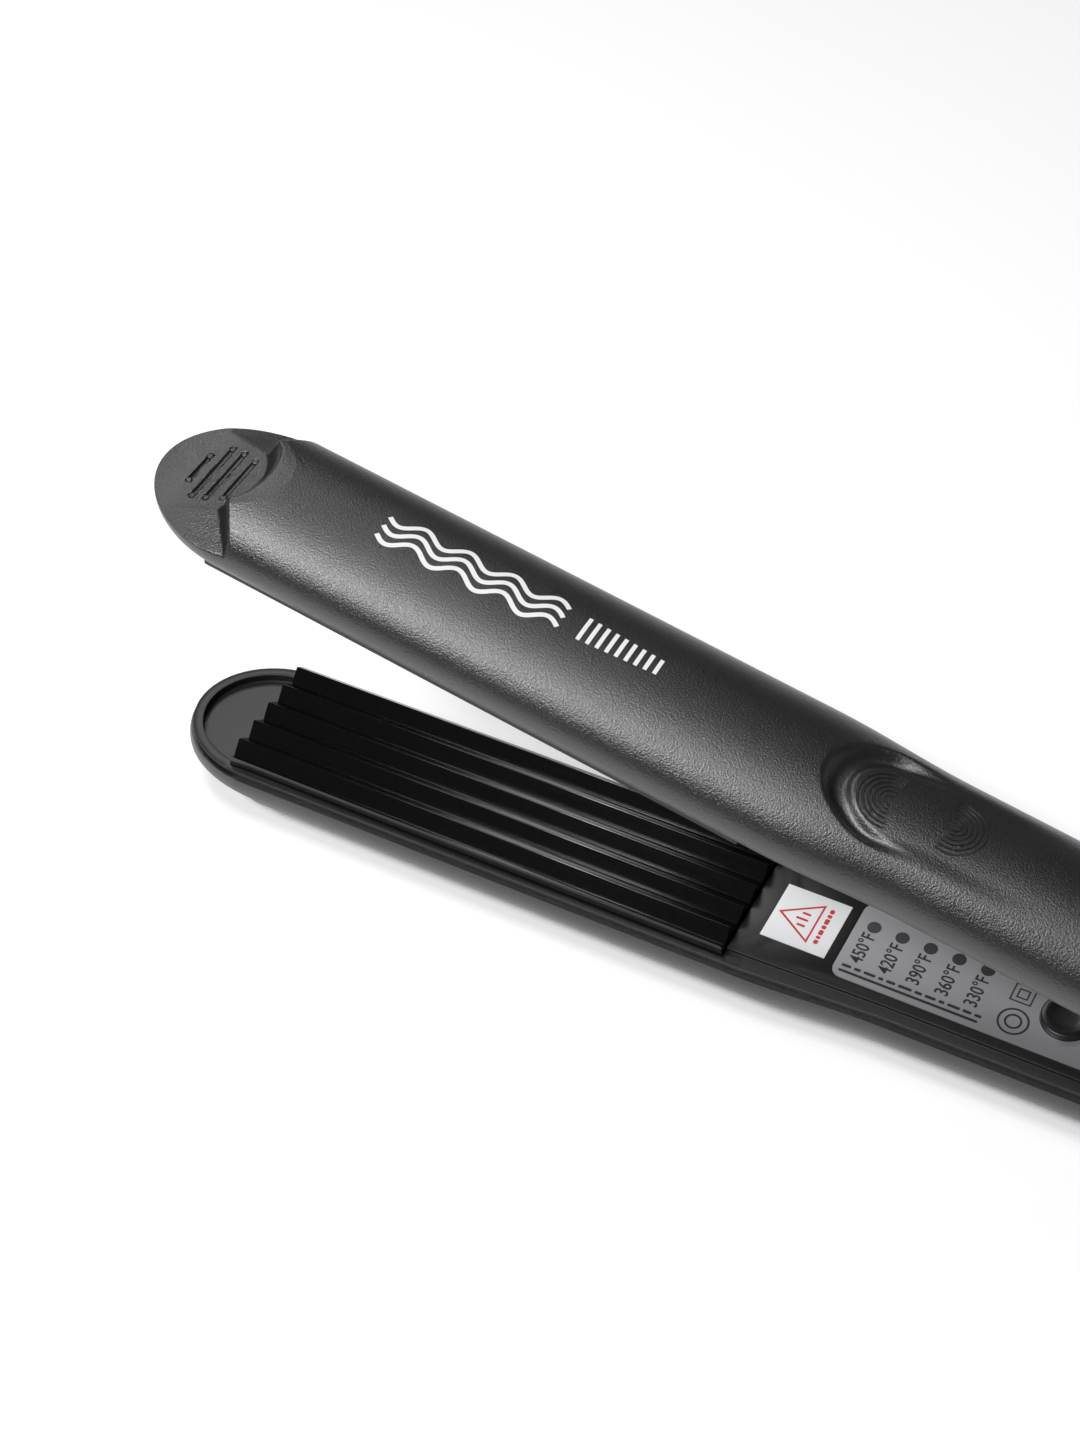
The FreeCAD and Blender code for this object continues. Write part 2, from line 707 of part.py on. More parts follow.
def inner_cover(label, upper):
    body = new_body(label)
    rim_half = "(Sizes.arm_half_width - Sizes.rim_inset)"
    rear = "(%s - Sizes.cover_end_gap)" % FORK_X
    base = draw(new_sketch(body, "XY_Plane", PARTING_Z), plan(rim_half, rear, rim_half))
    grow(body, base, less(RIM_Z, PARTING_Z))
    deck_half = "(Sizes.arm_half_width - Sizes.deck_inset)"
    deck = new_sketch(body, "XY_Plane", PARTING_Z)
    deck_narrow = "(%s - Sizes.handle_narrowing / 2)" % deck_half
    deck_start = "(%s + Sizes.deck_step)" % PLATE_END
    draw(deck, [
        (deck_start, minus(deck_half)),
        (WAIST_START, minus(deck_half)),
        (WAIST_END, minus(deck_narrow)),
        (rear, minus(deck_narrow)),
        (rear, deck_narrow),
        (WAIST_END, deck_narrow),
        (WAIST_START, deck_half),
        (deck_start, deck_half),
    ])
    grow(body, deck, less(DECK_Z, PARTING_Z))
    # sunk floor inside the rim of the tip
    floor = new_sketch(body, "XY_Plane", "(%s - Sizes.tip_floor)" % POCKET_Z)
    draw(floor, tip_outline("(%s + Sizes.tip_wall)" % TIP_REACH, "Sizes.lip_width"))
    grow(body, floor, "(Sizes.tip_floor + Sizes.tip_pocket_depth)")
    sunk = new_sketch(body, "XY_Plane", POCKET_Z)
    draw(sunk, tip_outline(TIP_REACH, "Sizes.tip_lap"))
    grow(body, sunk, FAR_PAST, cut=True)
    # opening for the plate, with a lip below it
    lip_half = "(%s - Sizes.lip_width)" % OPENING_HALF
    seat = "(%s - Sizes.plate_drop)" % SEAT_Z
    box_cut(body, "XY_Plane", seat, FAR_PAST, "(%s - Sizes.plate_gap)" % PLATE_START,
            "(%s + Sizes.plate_gap)" % PLATE_END, minus(OPENING_HALF), OPENING_HALF)
    box_cut(body, "XY_Plane", "0", ACROSS, "(%s + Sizes.lip_width)" % PLATE_START,
            "(%s - Sizes.lip_width)" % PLATE_END, minus(lip_half), lip_half)
    # screw holes with sunk seats
    round_cut(body, "XY_Plane", "0", ACROSS, screw_places(),
              "(Sizes.screw_radius + Sizes.head_room)")
    head_z = "(%s - Sizes.screw_head)" % DECK_Z
    round_cut(body, "XY_Plane", head_z, FAR_PAST, screw_places(),
              "(Sizes.screw_head_radius + Sizes.head_room)")
    if not upper:
        panel_seat(body)
    return keep(body, upper)


def panel_outline(sketch, room):
    """Rectangle with round corners, made larger all round by room."""
    x0 = "(%s - %s)" % (PANEL_START, room)
    x1 = "(%s + Sizes.panel_length + %s)" % (PANEL_START, room)
    side = "(Sizes.panel_half_width + %s)" % room
    bend = "(Sizes.panel_corner + %s)" % room
    return draw(sketch, [
        ("(%s + %s)" % (x0, bend), minus(side)),
        ("(%s - %s)" % (x1, bend), minus(side), bend),
        (x1, "(%s - %s)" % (bend, side)),
        (x1, "(%s - %s)" % (side, bend), bend),
        ("(%s - %s)" % (x1, bend), side),
        ("(%s + %s)" % (x0, bend), side, bend),
        (x0, "(%s - %s)" % (side, bend)),
        (x0, "(%s - %s)" % (bend, side), bend),
    ])


def window_places():
    first = "(%s + Sizes.window_from_panel)" % PANEL_START
    return [
        ("(%s + %d * Sizes.window_pitch)" % (first, i), "Sizes.window_offset")
        for i in range(int(at("Sizes.window_count")))
    ]


def panel_seat(body):
    """Shallow seat for the control panel, with the holes of its windows and button."""
    seat = panel_outline(new_sketch(body, "XY_Plane", PANEL_Z), "Sizes.button_play")
    grow(body, seat, FAR_PAST, cut=True)
    control_holes(body)


def control_holes(body):
    """Holes for the five windows and for the button, in the panel and in the cover below it."""
    round_cut(body, "XY_Plane", "0", ACROSS, window_places(),
              "(Sizes.window_radius + Sizes.press_fit)")
    round_cut(body, "XY_Plane", "0", ACROSS, [(BUTTON_X, "0")],
              "(Sizes.button_radius + Sizes.button_play)")


# ---------------------------------------------------------------- plates and heaters

def crimp_plate(label, upper):
    """Ridged plate: its section is odd about the middle, so two of them mesh face to face."""
    body = new_body(label)
    top = []
    valley = "(%s + Sizes.crest_height - Sizes.ridge_height)" % DECK_Z
    crest = "(%s + Sizes.crest_height)" % DECK_Z
    middle = "(%s + Sizes.crest_height - Sizes.ridge_height / 2)" % DECK_Z
    count = int(at("Sizes.ridge_count"))
    top.append((minus(PLATE_HALF), middle))
    for i in range(count):
        left = "(%d * Sizes.ridge_pitch - %s)" % (i, PLATE_HALF)
        top.append(("(%s + Sizes.ridge_pitch / 4)" % left, crest))
        top.append(("(%s + 3 * Sizes.ridge_pitch / 4)" % left, valley))
    top.append((PLATE_HALF, middle))
    outline = top + [(PLATE_HALF, SEAT_Z), (minus(PLATE_HALF), SEAT_Z)]
    face = draw(new_sketch(body, "YZ_Plane", PLATE_START), outline)
    grow(body, face, "Sizes.plate_length")
    low = "(%s - Sizes.rail_height)" % SEAT_Z
    outer = "(Sizes.rail_reach + Sizes.rail_thick)"
    inner = "(Sizes.rail_reach - Sizes.rail_lip)"
    lip = "(%s + Sizes.rail_lip_thick)" % low
    for side in ("1", "-1"):
        rail = new_sketch(body, "YZ_Plane", "(%s + Sizes.rail_setback)" % PLATE_START)
        corners = [
            ("Sizes.rail_reach", SEAT_Z), ("Sizes.rail_reach", lip), (inner, lip), (inner, low),
            (outer, low), (outer, SEAT_Z),
        ]
        draw(rail, [("(%s * %s)" % (side, y), z) for y, z in corners])
        grow(body, rail, "(Sizes.plate_length - 2 * Sizes.rail_setback)")
    return keep(body, upper)


def heater(label, upper):
    body = new_body(label)
    middle = "(%s + Sizes.plate_length / 2)" % PLATE_START
    half = "(Sizes.heater_length / 2)"
    box_pad(body, "XY_Plane", "(%s - Sizes.heater_thick)" % SEAT_Z, "Sizes.heater_thick",
            "(%s - %s)" % (middle, half), "(%s + %s)" % (middle, half),
            "(-Sizes.heater_width / 2)", "(Sizes.heater_width / 2)")
    return keep(body, upper)


def heater_clamp(label, upper):
    """Sprung steel strip that lies on the rail lips and bears on the heater with three bows."""
    body = new_body(label)
    low = "(%s - Sizes.rail_height + Sizes.rail_lip_thick)" % SEAT_Z
    middle = "(%s + Sizes.plate_length / 2)" % PLATE_START
    half = "(Sizes.clamp_length / 2)"
    width = "(Sizes.heater_width / 2 + Sizes.clamp_overhang)"
    box_pad(body, "XY_Plane", low, "Sizes.clamp_thick", "(%s - %s)" % (middle, half),
            "(%s + %s)" % (middle, half), minus(width), width)
    rise = "(Sizes.rail_height - Sizes.rail_lip_thick - Sizes.heater_thick)"
    for step in ("-1", "0", "1"):
        x = "(%s + %s * Sizes.clamp_length / 3)" % (middle, step)
        bow = new_sketch(body, "XZ_Plane")
        top = "(%s + %s)" % (low, rise)
        draw(bow, [
            ("(%s - Sizes.bow_reach)" % x, low), ("(%s + Sizes.bow_reach)" % x, low),
            ("(%s + Sizes.bow_top_reach)" % x, top), ("(%s - Sizes.bow_top_reach)" % x, top)])
        grow(body, bow, "(Sizes.heater_width / 2)", both=True)
    return keep(body, upper)


def cushions(label, upper):
    """Four silicone cushions that carry the plate's rails on the posts of the shell."""
    body = new_body(label)
    low = "(Sizes.post_height + Sizes.wall)"
    height = "(%s - Sizes.rail_height - %s)" % (SEAT_Z, low)
    round_pad(body, "XY_Plane", low, height, corner_places("cushion_setback"),
              "Sizes.cushion_radius")
    return keep(body, upper)


def sensor(label, upper):
    """Glass bead thermistor lying in the rail channel, beyond the heater."""
    body = new_body(label)
    start = "(%s - Sizes.rail_setback - Sizes.sensor_length)" % PLATE_END
    bead = new_sketch(body, "YZ_Plane", start)
    draw_circle(bead, "0", "(%s - Sizes.sensor_radius - Sizes.sensor_drop)" % SEAT_Z,
                "Sizes.sensor_radius")
    grow(body, bead, "Sizes.sensor_length")
    return keep(body, upper)


def thermal_fuse():
    body = new_body("thermal_fuse")
    can = new_sketch(body, "YZ_Plane", "(%s - Sizes.fuse_from_end)" % PLATE_END)
    draw_circle(can, "Sizes.fuse_offset", "(Sizes.wall + Sizes.fuse_level)", "Sizes.fuse_radius")
    grow(body, can, "Sizes.fuse_length")
    return keep(body)


# ---------------------------------------------------------------- controls

def heat_label():
    body = new_body("heat_label")
    half = "(Sizes.label_size / 2)"
    box_pad(body, "XY_Plane", DECK_Z, "Sizes.label_thick", "(%s - %s)" % (LABEL_X, half),
            "(%s + %s)" % (LABEL_X, half), minus(half), half)
    return keep(body)


def control_panel():
    body = new_body("control_panel")
    grow(body, panel_outline(new_sketch(body, "XY_Plane", PANEL_Z), "0"), "Sizes.panel_thick")
    control_holes(body)
    return keep(body)


def led_windows():
    body = new_body("led_windows")
    low = "(%s + Sizes.window_foot)" % BOARD_TOP
    height = "(%s + Sizes.panel_proud - %s)" % (DECK_Z, low)
    round_pad(body, "XY_Plane", low, height, window_places(), "Sizes.window_radius")
    return keep(body)


def led_chips():
    body = new_body("led_chips")
    sketch = new_sketch(body, "XY_Plane", BOARD_TOP)
    for x, y in window_places():
        draw_box(sketch, "(%s - Sizes.chip_half_length)" % x, "(%s + Sizes.chip_half_length)" % x,
                 "(%s - Sizes.chip_half_width)" % y, "(%s + Sizes.chip_half_width)" % y)
    grow(body, sketch, "Sizes.chip_height")
    return keep(body)


def circuit_board():
    body = new_body("circuit_board")
    middle = "(%s + Sizes.panel_length / 2)" % PANEL_START
    half = "(Sizes.board_length / 2)"
    box_pad(body, "XY_Plane", "Sizes.board_level", "Sizes.board_thick",
            "(%s - %s)" % (middle, half), "(%s + %s)" % (middle, half),
            "(-Sizes.board_width / 2)", "(Sizes.board_width / 2)")
    round_cut(body, "XY_Plane", "0", "Sizes.arm_depth", board_screw_places(),
              "(Sizes.screw_radius + Sizes.head_room)")
    return keep(body)


def tact_switch():
    body = new_body("tact_switch")
    box_pad(body, "XY_Plane", BOARD_TOP, "Sizes.switch_height",
            "(%s - Sizes.switch_reach)" % BUTTON_X, "(%s + Sizes.switch_reach)" % BUTTON_X,
            minus("Sizes.switch_reach"), "Sizes.switch_reach")
    return keep(body)


def power_button():
    """Round button: domed cap above the panel, flange below the deck and a stem to the switch."""
    body = new_body("power_button")
    top = "(%s + Sizes.button_height)" % DECK_Z
    flange_top = "(%s - Sizes.button_play)" % PARTING_Z
    flange_low = "(%s - Sizes.button_flange_thick)" % flange_top
    switch_top = "(%s + Sizes.switch_height)" % BOARD_TOP
    stem_low = "(%s + Sizes.button_travel + Sizes.button_play)" % switch_top
    stem = "Sizes.button_stem_radius"
    outline = new_sketch(body, "XZ_Plane", shift=BUTTON_X)
    flange = "(Sizes.button_radius + Sizes.button_flange)"
    draw(outline, [
        ("0", stem_low), (stem, stem_low), (stem, flange_low), (flange, flange_low),
        (flange, flange_top), ("Sizes.button_radius", flange_top),
        ("Sizes.button_radius", "(%s - Sizes.button_edge)" % top),
        ("(Sizes.button_radius - Sizes.button_edge)", "(%s - Sizes.button_dome)" % top), ("0", top),
    ])
    spin(body, outline)
    return keep(body)


# ---------------------------------------------------------------- hinge

def hinge_pin():
    body = new_body("hinge_pin")
    pin = new_sketch(body, "XZ_Plane")
    draw_circle(pin, HINGE_X, CLOSING_Z, "Sizes.pin_radius")
    half = "(%s - Sizes.cap_depth - Sizes.pin_end_room)" % HANDLE_HALF
    grow(body, pin, "2 * %s" % half, both=True)
    return keep(body)


def hinge_washers():
    body = new_body("hinge_washers")
    gap = "((Sizes.cheek_inner - Sizes.knuckle_half_width - Sizes.washer_thick) / 2)"
    for side in ("1", "-1"):
        start = "(%s * (Sizes.knuckle_half_width + %s))" % (side, gap)
        ring = new_sketch(body, "XZ_Plane", start)
        draw_circle(ring, HINGE_X, CLOSING_Z, "Sizes.washer_radius")
        draw_circle(ring, HINGE_X, CLOSING_Z, "(Sizes.pin_radius + Sizes.pin_fit)")
        grow(body, ring, "Sizes.washer_thick", backwards=(side == "-1"))
    return keep(body)


def hinge_caps():
    body = new_body("hinge_caps")
    for side in ("1", "-1"):
        start = "(%s * (%s - Sizes.cap_depth))" % (side, HANDLE_HALF)
        cap = new_sketch(body, "XZ_Plane", start)
        draw_circle(cap, HINGE_X, CLOSING_Z, "(Sizes.cap_radius - Sizes.press_fit)")
        grow(body, cap, "(Sizes.cap_depth + Sizes.cap_proud)", backwards=(side == "-1"))
    return keep(body)


def opening_spring():
    """Torsion spring on the pin, drawn wound as in the closed crimper.

    One leg lies in a slot of the lower shell and the other reaches into the neck of the upper.
    """
    radius = at("Sizes.spring_radius")
    wire = at("Sizes.spring_wire")
    pitch = at("Sizes.spring_pitch")
    turns = at("Sizes.spring_turns") + 0.5
    steps = int(at("Sizes.spring_turns")) * SPRING_STEPS + SPRING_STEPS // 2
    points = []
    for i in range(steps + 1):
        angle = 2 * math.pi * i / SPRING_STEPS
        points.append(FreeCAD.Vector(
            radius * math.cos(angle), radius * math.sin(angle), pitch * i / SPRING_STEPS))
    toward_tips = FreeCAD.Vector(0, -1, 0)
    points.insert(0, points[0] + toward_tips * at("Sizes.spring_leg"))
    points.append(points[-1] + toward_tips * at("Sizes.spring_fixed_leg"))
    ring = []
    for i in range(WIRE_SIDES + 1):
        angle = 2 * math.pi * i / WIRE_SIDES
        ring.append(points[0] + FreeCAD.Vector(math.cos(angle), 0, math.sin(angle)) * wire)
    piece = doc.addObject("Part::Feature", "opening_spring")
    piece.Shape = Part.makePolygon(points).makePipeShell([Part.makePolygon(ring)], True, True, 1)
    # the coil's own axis goes onto the hinge axis, and both legs toward the tips
    middle = FreeCAD.Placement(FreeCAD.Vector(0, 0, -pitch * turns / 2), FreeCAD.Rotation())
    turn = FreeCAD.Rotation(FreeCAD.Vector(1, 1, 1), -120)
    hinge = FreeCAD.Placement(FreeCAD.Vector(at(HINGE_X), 0, at(CLOSING_Z)), turn)
    piece.Placement = hinge.multiply(middle)
    return keep(piece)


# ---------------------------------------------------------------- cord gland

def swivel_gland():
    """Turning sleeve for the cord: inner flange, sleeve through the barrel, tapered nose."""
    body = new_body("swivel_gland")
    start = "(%s - Sizes.tail_wall - Sizes.gland_flange - Sizes.gland_fit)" % TAIL_END
    neck = "(%s + Sizes.gland_flange)" % start
    nose = "(%s + Sizes.gland_nose)" % TAIL_END
    outline = new_sketch(body, "XY_Plane", CLOSING_Z)
    draw(outline, [
        (start, "Sizes.cord_bore_radius"), (start, "Sizes.gland_flange_radius"),
        (neck, "Sizes.gland_flange_radius"), (neck, "Sizes.gland_radius"),
        ("(%s + Sizes.gland_step)" % TAIL_END, "Sizes.gland_radius"),
        (nose, "(Sizes.gland_radius - Sizes.gland_taper)"), (nose, "Sizes.cord_bore_radius"),
    ])
    spin(body, outline, axis="H_Axis")
    return keep(body)


# ---------------------------------------------------------------- screws and leads

def screw(label, x, y, seat, length):
    """Pan head screw whose head rests at the height of seat."""
    body = new_body(label)
    outline = new_sketch(body, "XZ_Plane", offset=minus(y), shift=x)
    head = "Sizes.screw_head_radius"
    top = "(%s + Sizes.screw_head - Sizes.screw_top_play)" % seat
    draw(outline, [
        ("0", "(%s - %s)" % (seat, length)),
        ("Sizes.screw_radius", "(%s - %s + Sizes.screw_point)" % (seat, length)),
        ("Sizes.screw_radius", seat), (head, seat),
        (head, "(%s - Sizes.screw_edge)" % top),
        ("(%s - Sizes.screw_edge)" % head, top),
        ("0", top),
    ])
    spin(body, outline)
    return body


def screws(label, places, seat, length, upper=False):
    bodies = []
    for i, (x, y) in enumerate(places, start=1):
        bodies.append(screw("%s_%d" % (label, i), x, y, seat, length))
    return gather(label, bodies, upper)


def leads(label, upper):
    """Two insulated leads along the floor of the shell, rising to the end of the heater."""
    body = new_body(label)
    low = "(Sizes.wall + 2 * Sizes.lead_radius)"
    front = "(%s + (Sizes.plate_length + Sizes.heater_length) / 2 + Sizes.lead_from_heater)"
    front = front % PLATE_START
    for side in ("1", "-1"):
        y = "(%s * Sizes.lead_spread / 2)" % side
        run = new_sketch(body, "YZ_Plane", front)
        draw_circle(run, y, low, "Sizes.lead_radius")
        grow(body, run, less("(%s - Sizes.lead_stop)" % LABEL_X, front))
        rise = new_sketch(body, "XY_Plane", low)
        draw_circle(rise, "(%s)" % front, y, "Sizes.lead_radius")
        grow(body, rise, "(%s - Sizes.lead_end_room - %s)" % (SEAT_Z, low))
    return keep(body, upper)


lower_shell()
inner_cover("lower_inner_cover", upper=False)
tail_cover()
upper_shell()
inner_cover("upper_inner_cover", upper=True)
for arm, is_upper in (("lower", False), ("upper", True)):
    crimp_plate(arm + "_crimp_plate", is_upper)
    heater(arm + "_heater", is_upper)
    heater_clamp(arm + "_heater_clamp", is_upper)
    cushions(arm + "_plate_cushions", is_upper)
    sensor(arm + "_heat_sensor", is_upper)
    leads(arm + "_heater_leads", is_upper)
    seat = "(%s - Sizes.screw_head)" % DECK_Z
    screws(arm + "_cover_screws", screw_places(), seat, "Sizes.screw_length", is_upper)
thermal_fuse()
heat_label()
control_panel()
led_windows()
led_chips()
circuit_board()
tact_switch()
screws("board_screws", board_screw_places(), BOARD_TOP, "Sizes.board_screw_length")
power_button()
hinge_pin()
hinge_washers()
hinge_caps()
opening_spring()
swivel_gland()

doc.recompute()

# ---------------------------------------------------------------- checks, then the files

for item in doc.Objects:
    if "Invalid" in item.State or "Error" in item.State:
        raise RuntimeError("%s did not compute" % item.Label)
for piece in made:
    if piece.Shape.isNull() or not piece.Shape.isValid():
        raise RuntimeError("%s has no valid shape" % piece.Label)

os.makedirs("parts", exist_ok=True)
for piece in made:
    piece.Shape.exportStep("parts/%s.step" % piece.Label)
    print("%-24s %2d solid(s) %10.1f mm3" % (
        piece.Label, len(piece.Shape.Solids), piece.Shape.Volume))
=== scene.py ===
import json
import math
import bpy
import bmesh
import numpy as np
from mathutils import Matrix, Vector


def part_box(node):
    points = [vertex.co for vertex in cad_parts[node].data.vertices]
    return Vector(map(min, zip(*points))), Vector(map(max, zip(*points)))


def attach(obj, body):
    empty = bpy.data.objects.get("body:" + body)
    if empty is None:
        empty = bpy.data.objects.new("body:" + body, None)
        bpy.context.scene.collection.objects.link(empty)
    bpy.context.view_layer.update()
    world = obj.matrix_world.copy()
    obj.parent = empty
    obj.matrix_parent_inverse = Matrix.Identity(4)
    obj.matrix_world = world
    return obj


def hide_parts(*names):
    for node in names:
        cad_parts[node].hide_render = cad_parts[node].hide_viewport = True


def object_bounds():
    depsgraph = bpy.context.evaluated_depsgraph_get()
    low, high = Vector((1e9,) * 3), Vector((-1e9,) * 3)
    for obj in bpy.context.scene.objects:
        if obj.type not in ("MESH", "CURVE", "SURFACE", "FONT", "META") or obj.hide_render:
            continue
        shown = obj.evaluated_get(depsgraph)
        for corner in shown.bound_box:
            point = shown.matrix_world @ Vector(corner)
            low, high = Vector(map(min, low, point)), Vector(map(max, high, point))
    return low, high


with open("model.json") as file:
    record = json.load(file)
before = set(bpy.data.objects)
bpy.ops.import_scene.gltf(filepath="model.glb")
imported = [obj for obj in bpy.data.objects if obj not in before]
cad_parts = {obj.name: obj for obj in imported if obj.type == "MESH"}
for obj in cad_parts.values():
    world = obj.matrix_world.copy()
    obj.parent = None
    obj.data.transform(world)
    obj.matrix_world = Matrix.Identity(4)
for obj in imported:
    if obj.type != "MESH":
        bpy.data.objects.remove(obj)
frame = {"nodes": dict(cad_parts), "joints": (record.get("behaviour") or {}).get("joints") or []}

# A hair crimper. Sizes are in millimetres; the MM factor turns them into metres.
# Both arms are drawn lying on their backs, and the upper one is then turned over and swung open.
cad_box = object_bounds()

# ---------------------------------------------------------------- lower shell
# The moulded back of the lower arm, one soft-touch plastic shell from the oval tip to the tail.
# It is hollow, closed by the inner cover, and its two cheeks hold the hinge pin.

MM = 0.001
plate_low, plate_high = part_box("lower_crimp_plate")
shell_low, shell_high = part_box("lower_shell")
cover_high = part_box("lower_inner_cover")[1]
hinge_joint = [joint for joint in frame["joints"] if joint["name"] == "arm_close"][0]
PLATE_START = plate_low.x / MM
PLATE_END = plate_high.x / MM
DECK = cover_high.z / MM
HALF_WIDTH = shell_high.y / MM
HINGE_X = hinge_joint["pos_m"][0] / MM
HINGE_Z = hinge_joint["pos_m"][2] / MM
OPEN_ANGLE = math.radians(hinge_joint["range_deg"][1])

WIDEST_DROP = 4.0
CAD_SHOULDER = 8.0
CAD_STRIP_HALF = 3.5
CAD_KNEE = math.radians(80)
ROUNDNESS = 2.1
NOSE_X = PLATE_START + 3.4
NOSE_LENGTH = NOSE_X - shell_low.x / MM
WAIST_START = PLATE_END + 4.0
WAIST_END = WAIST_START + 25.0
HANDLE_NARROWING = 1.3
PARTING_DROP = 2.0
PARTING_INSET = 0.45
WALL = 1.8
MORPH_X = 128.0
JOIN_X = 156.0
PAD_DEPTH = 6.9
PAD_SLOPE = 0.291
PAD_FOOT = -1.4
FACET_SLOPE = 0.34
SCOOP_RADIUS = 10.75
SCOOP_CENTRE = -8.15
GRIP_FRONT = 122.0
GRIP_SETTLES = 132.0
GRIP_STOP = 92.0


def smooth_step(value):
    value = np.clip(value, 0.0, 1.0)
    return value * value * (3 - 2 * value)


def soft_min(first, second, radius):
    blend = np.maximum(radius - np.abs(first - second), 0) / radius
    return np.minimum(first, second) - blend * blend * radius / 4


def soft_max(first, second, radius):
    return -soft_min(-first, -second, radius)


def half_width(x):
    narrowing = smooth_step((x - WAIST_START) / (WAIST_END - WAIST_START))
    return HALF_WIDTH - HANDLE_NARROWING * narrowing


def pad_depth(along):
    """Depth of the sloping thumb pad at the tip, along from the front end of the plate."""
    return PAD_DEPTH + PAD_SLOPE * (along - PAD_FOOT)


def tip_cut(x, y):
    """Depth of the cut in the back of the tip: the thumb pad, its side facets and end wall."""
    along = x - PLATE_START
    across = np.abs(y)
    pad = pad_depth(along)
    edge = 7.3 - 0.27 * along
    low = soft_min(pad, pad - FACET_SLOPE * (across - edge), 0.15)
    low = soft_max(low, WIDEST_DROP + 0.1 + 0 * low, 1.5)
    scoop = np.hypot(along - SCOOP_CENTRE, across) - SCOOP_RADIUS
    corner = 0.78 * (along + 0.3) - 0.62 * (across - 7.3)
    past = soft_max(soft_min(scoop, corner, 0.8), 0 * along, 0.5)
    return low + (2.2 + 2.6 * smooth_step((across - 6.5) / 1.5)) * past


def grip_drop(x, y):
    """How far the thumb grip lies below the plain back: a valley round a raised island."""
    along = x - PLATE_START
    outer = (np.hypot(np.minimum(along - GRIP_FRONT, 0) / 14.0, y / 10.0) - 1) * 10.0
    inner = (np.hypot(np.minimum(along - GRIP_FRONT - 2, 0) / 11.6, y / 8.0) - 1) * 8.0
    crisp = 1 - smooth_step((along - GRIP_FRONT + 5) / 12.0)
    valley = (0.8 + 1.3 * crisp) * smooth_step(-outer / (4.5 - 2.2 * crisp))
    island = 1.15 * crisp * smooth_step(-inner / 1.0)
    settle = 1 - smooth_step((along - GRIP_SETTLES) / 24.0)
    return (valley - island) * settle


def back_depth(x, share):
    """Depth of the plain back below the deck; share is 0 on the middle line and 1 at the side."""
    share = np.clip(share, 0.0, 1.0)
    full = DECK - WIDEST_DROP
    oval = WIDEST_DROP + full * (1 - share ** ROUNDNESS) ** (1 / ROUNDNESS)
    width = half_width(x)
    y = share * width
    shoulder = WIDEST_DROP + np.sqrt(
        np.maximum(CAD_SHOULDER ** 2 - np.maximum(y - width + CAD_SHOULDER, 0) ** 2, 0))
    knee = width - CAD_SHOULDER + CAD_SHOULDER * math.cos(CAD_KNEE)
    knee_depth = WIDEST_DROP + CAD_SHOULDER * math.sin(CAD_KNEE)
    crown = DECK + (knee_depth - DECK) * np.clip(
        (y - CAD_STRIP_HALF) / (knee - CAD_STRIP_HALF), 0, 1)
    cad = np.where(y > knee, shoulder, crown)
    blend = smooth_step((x - MORPH_X) / (JOIN_X - 2 - MORPH_X))
    return oval + (cad - oval) * blend


def outer_depth(x, y, share):
    """Depth of the back with the tip cut off it and the thumb grip sunk in it."""
    depth = soft_min(back_depth(x, share), tip_cut(x, y), 0.8)
    return depth - grip_drop(x, y) * smooth_step((1 - share) / 0.25)


def inner_depth(x, y, share):
    return np.maximum(outer_depth(x, y, share) - WALL, PARTING_DROP)


def back_surface(x, y):
    """Depth of the finished back at a place on the arm."""
    ahead = np.minimum(x - NOSE_X, 0) / NOSE_LENGTH
    return outer_depth(x, y, np.hypot(ahead, y / half_width(x)))


def ring_points(share, depth, end):
    """One line of the shell's skin: the plan outline scaled by share, at its depth."""
    stops = (NOSE_X, NOSE_X + 12, WAIST_START, GRIP_STOP, end)
    steps = (0.25, 1.4, 0.4, 0.9)
    side = [np.arange(*stretch) for stretch in zip(stops, stops[1:], steps)]
    side = np.concatenate(side + [[end]])
    turn = np.linspace(0, math.pi, 97)[1:-1]
    width = half_width(side) * share
    left = np.stack([side[::-1], width[::-1]], 1)
    nose = np.stack([NOSE_X - NOSE_LENGTH * share * np.sin(turn),
                     HALF_WIDTH * share * np.cos(turn)], 1)
    right = np.stack([side, -width], 1)
    plan = np.concatenate([left, nose, right])
    if callable(depth):
        level = depth(plan[:, 0], plan[:, 1], share)
    else:
        level = np.full(len(plan), float(depth))
    return np.column_stack([plan, DECK - level])


def shell_front(end):
    """Outer and inner skin of a shell, from the tip to end, as points and faces."""
    rows = []
    for inset, drop in ((1.0, PARTING_DROP), (0.5, 2.6), (0.12, 3.3)):
        rows.append(ring_points(1 - inset * PARTING_INSET / HALF_WIDTH, drop, end))
    for angle in np.linspace(math.pi / 2, 0, 58):
        rows.append(ring_points(math.sin(angle) ** (2 / ROUNDNESS), outer_depth, end))
    middle = len(rows) - 1
    inner = 1 - WALL / HALF_WIDTH
    for share in (0.0, 0.25, 0.5, 0.75, 0.93):
        rows.append(ring_points(inner * share, inner_depth, end))
    rows.append(ring_points(inner, PARTING_DROP, end))
    count = len(rows[0])
    faces = []
    for j in range(len(rows)):
        if j != middle:
            first, second = j * count, (j + 1) % len(rows) * count
            for i in range(count - 1):
                faces.append((first + i, first + i + 1, second + i + 1, second + i))
    return np.concatenate(rows), faces


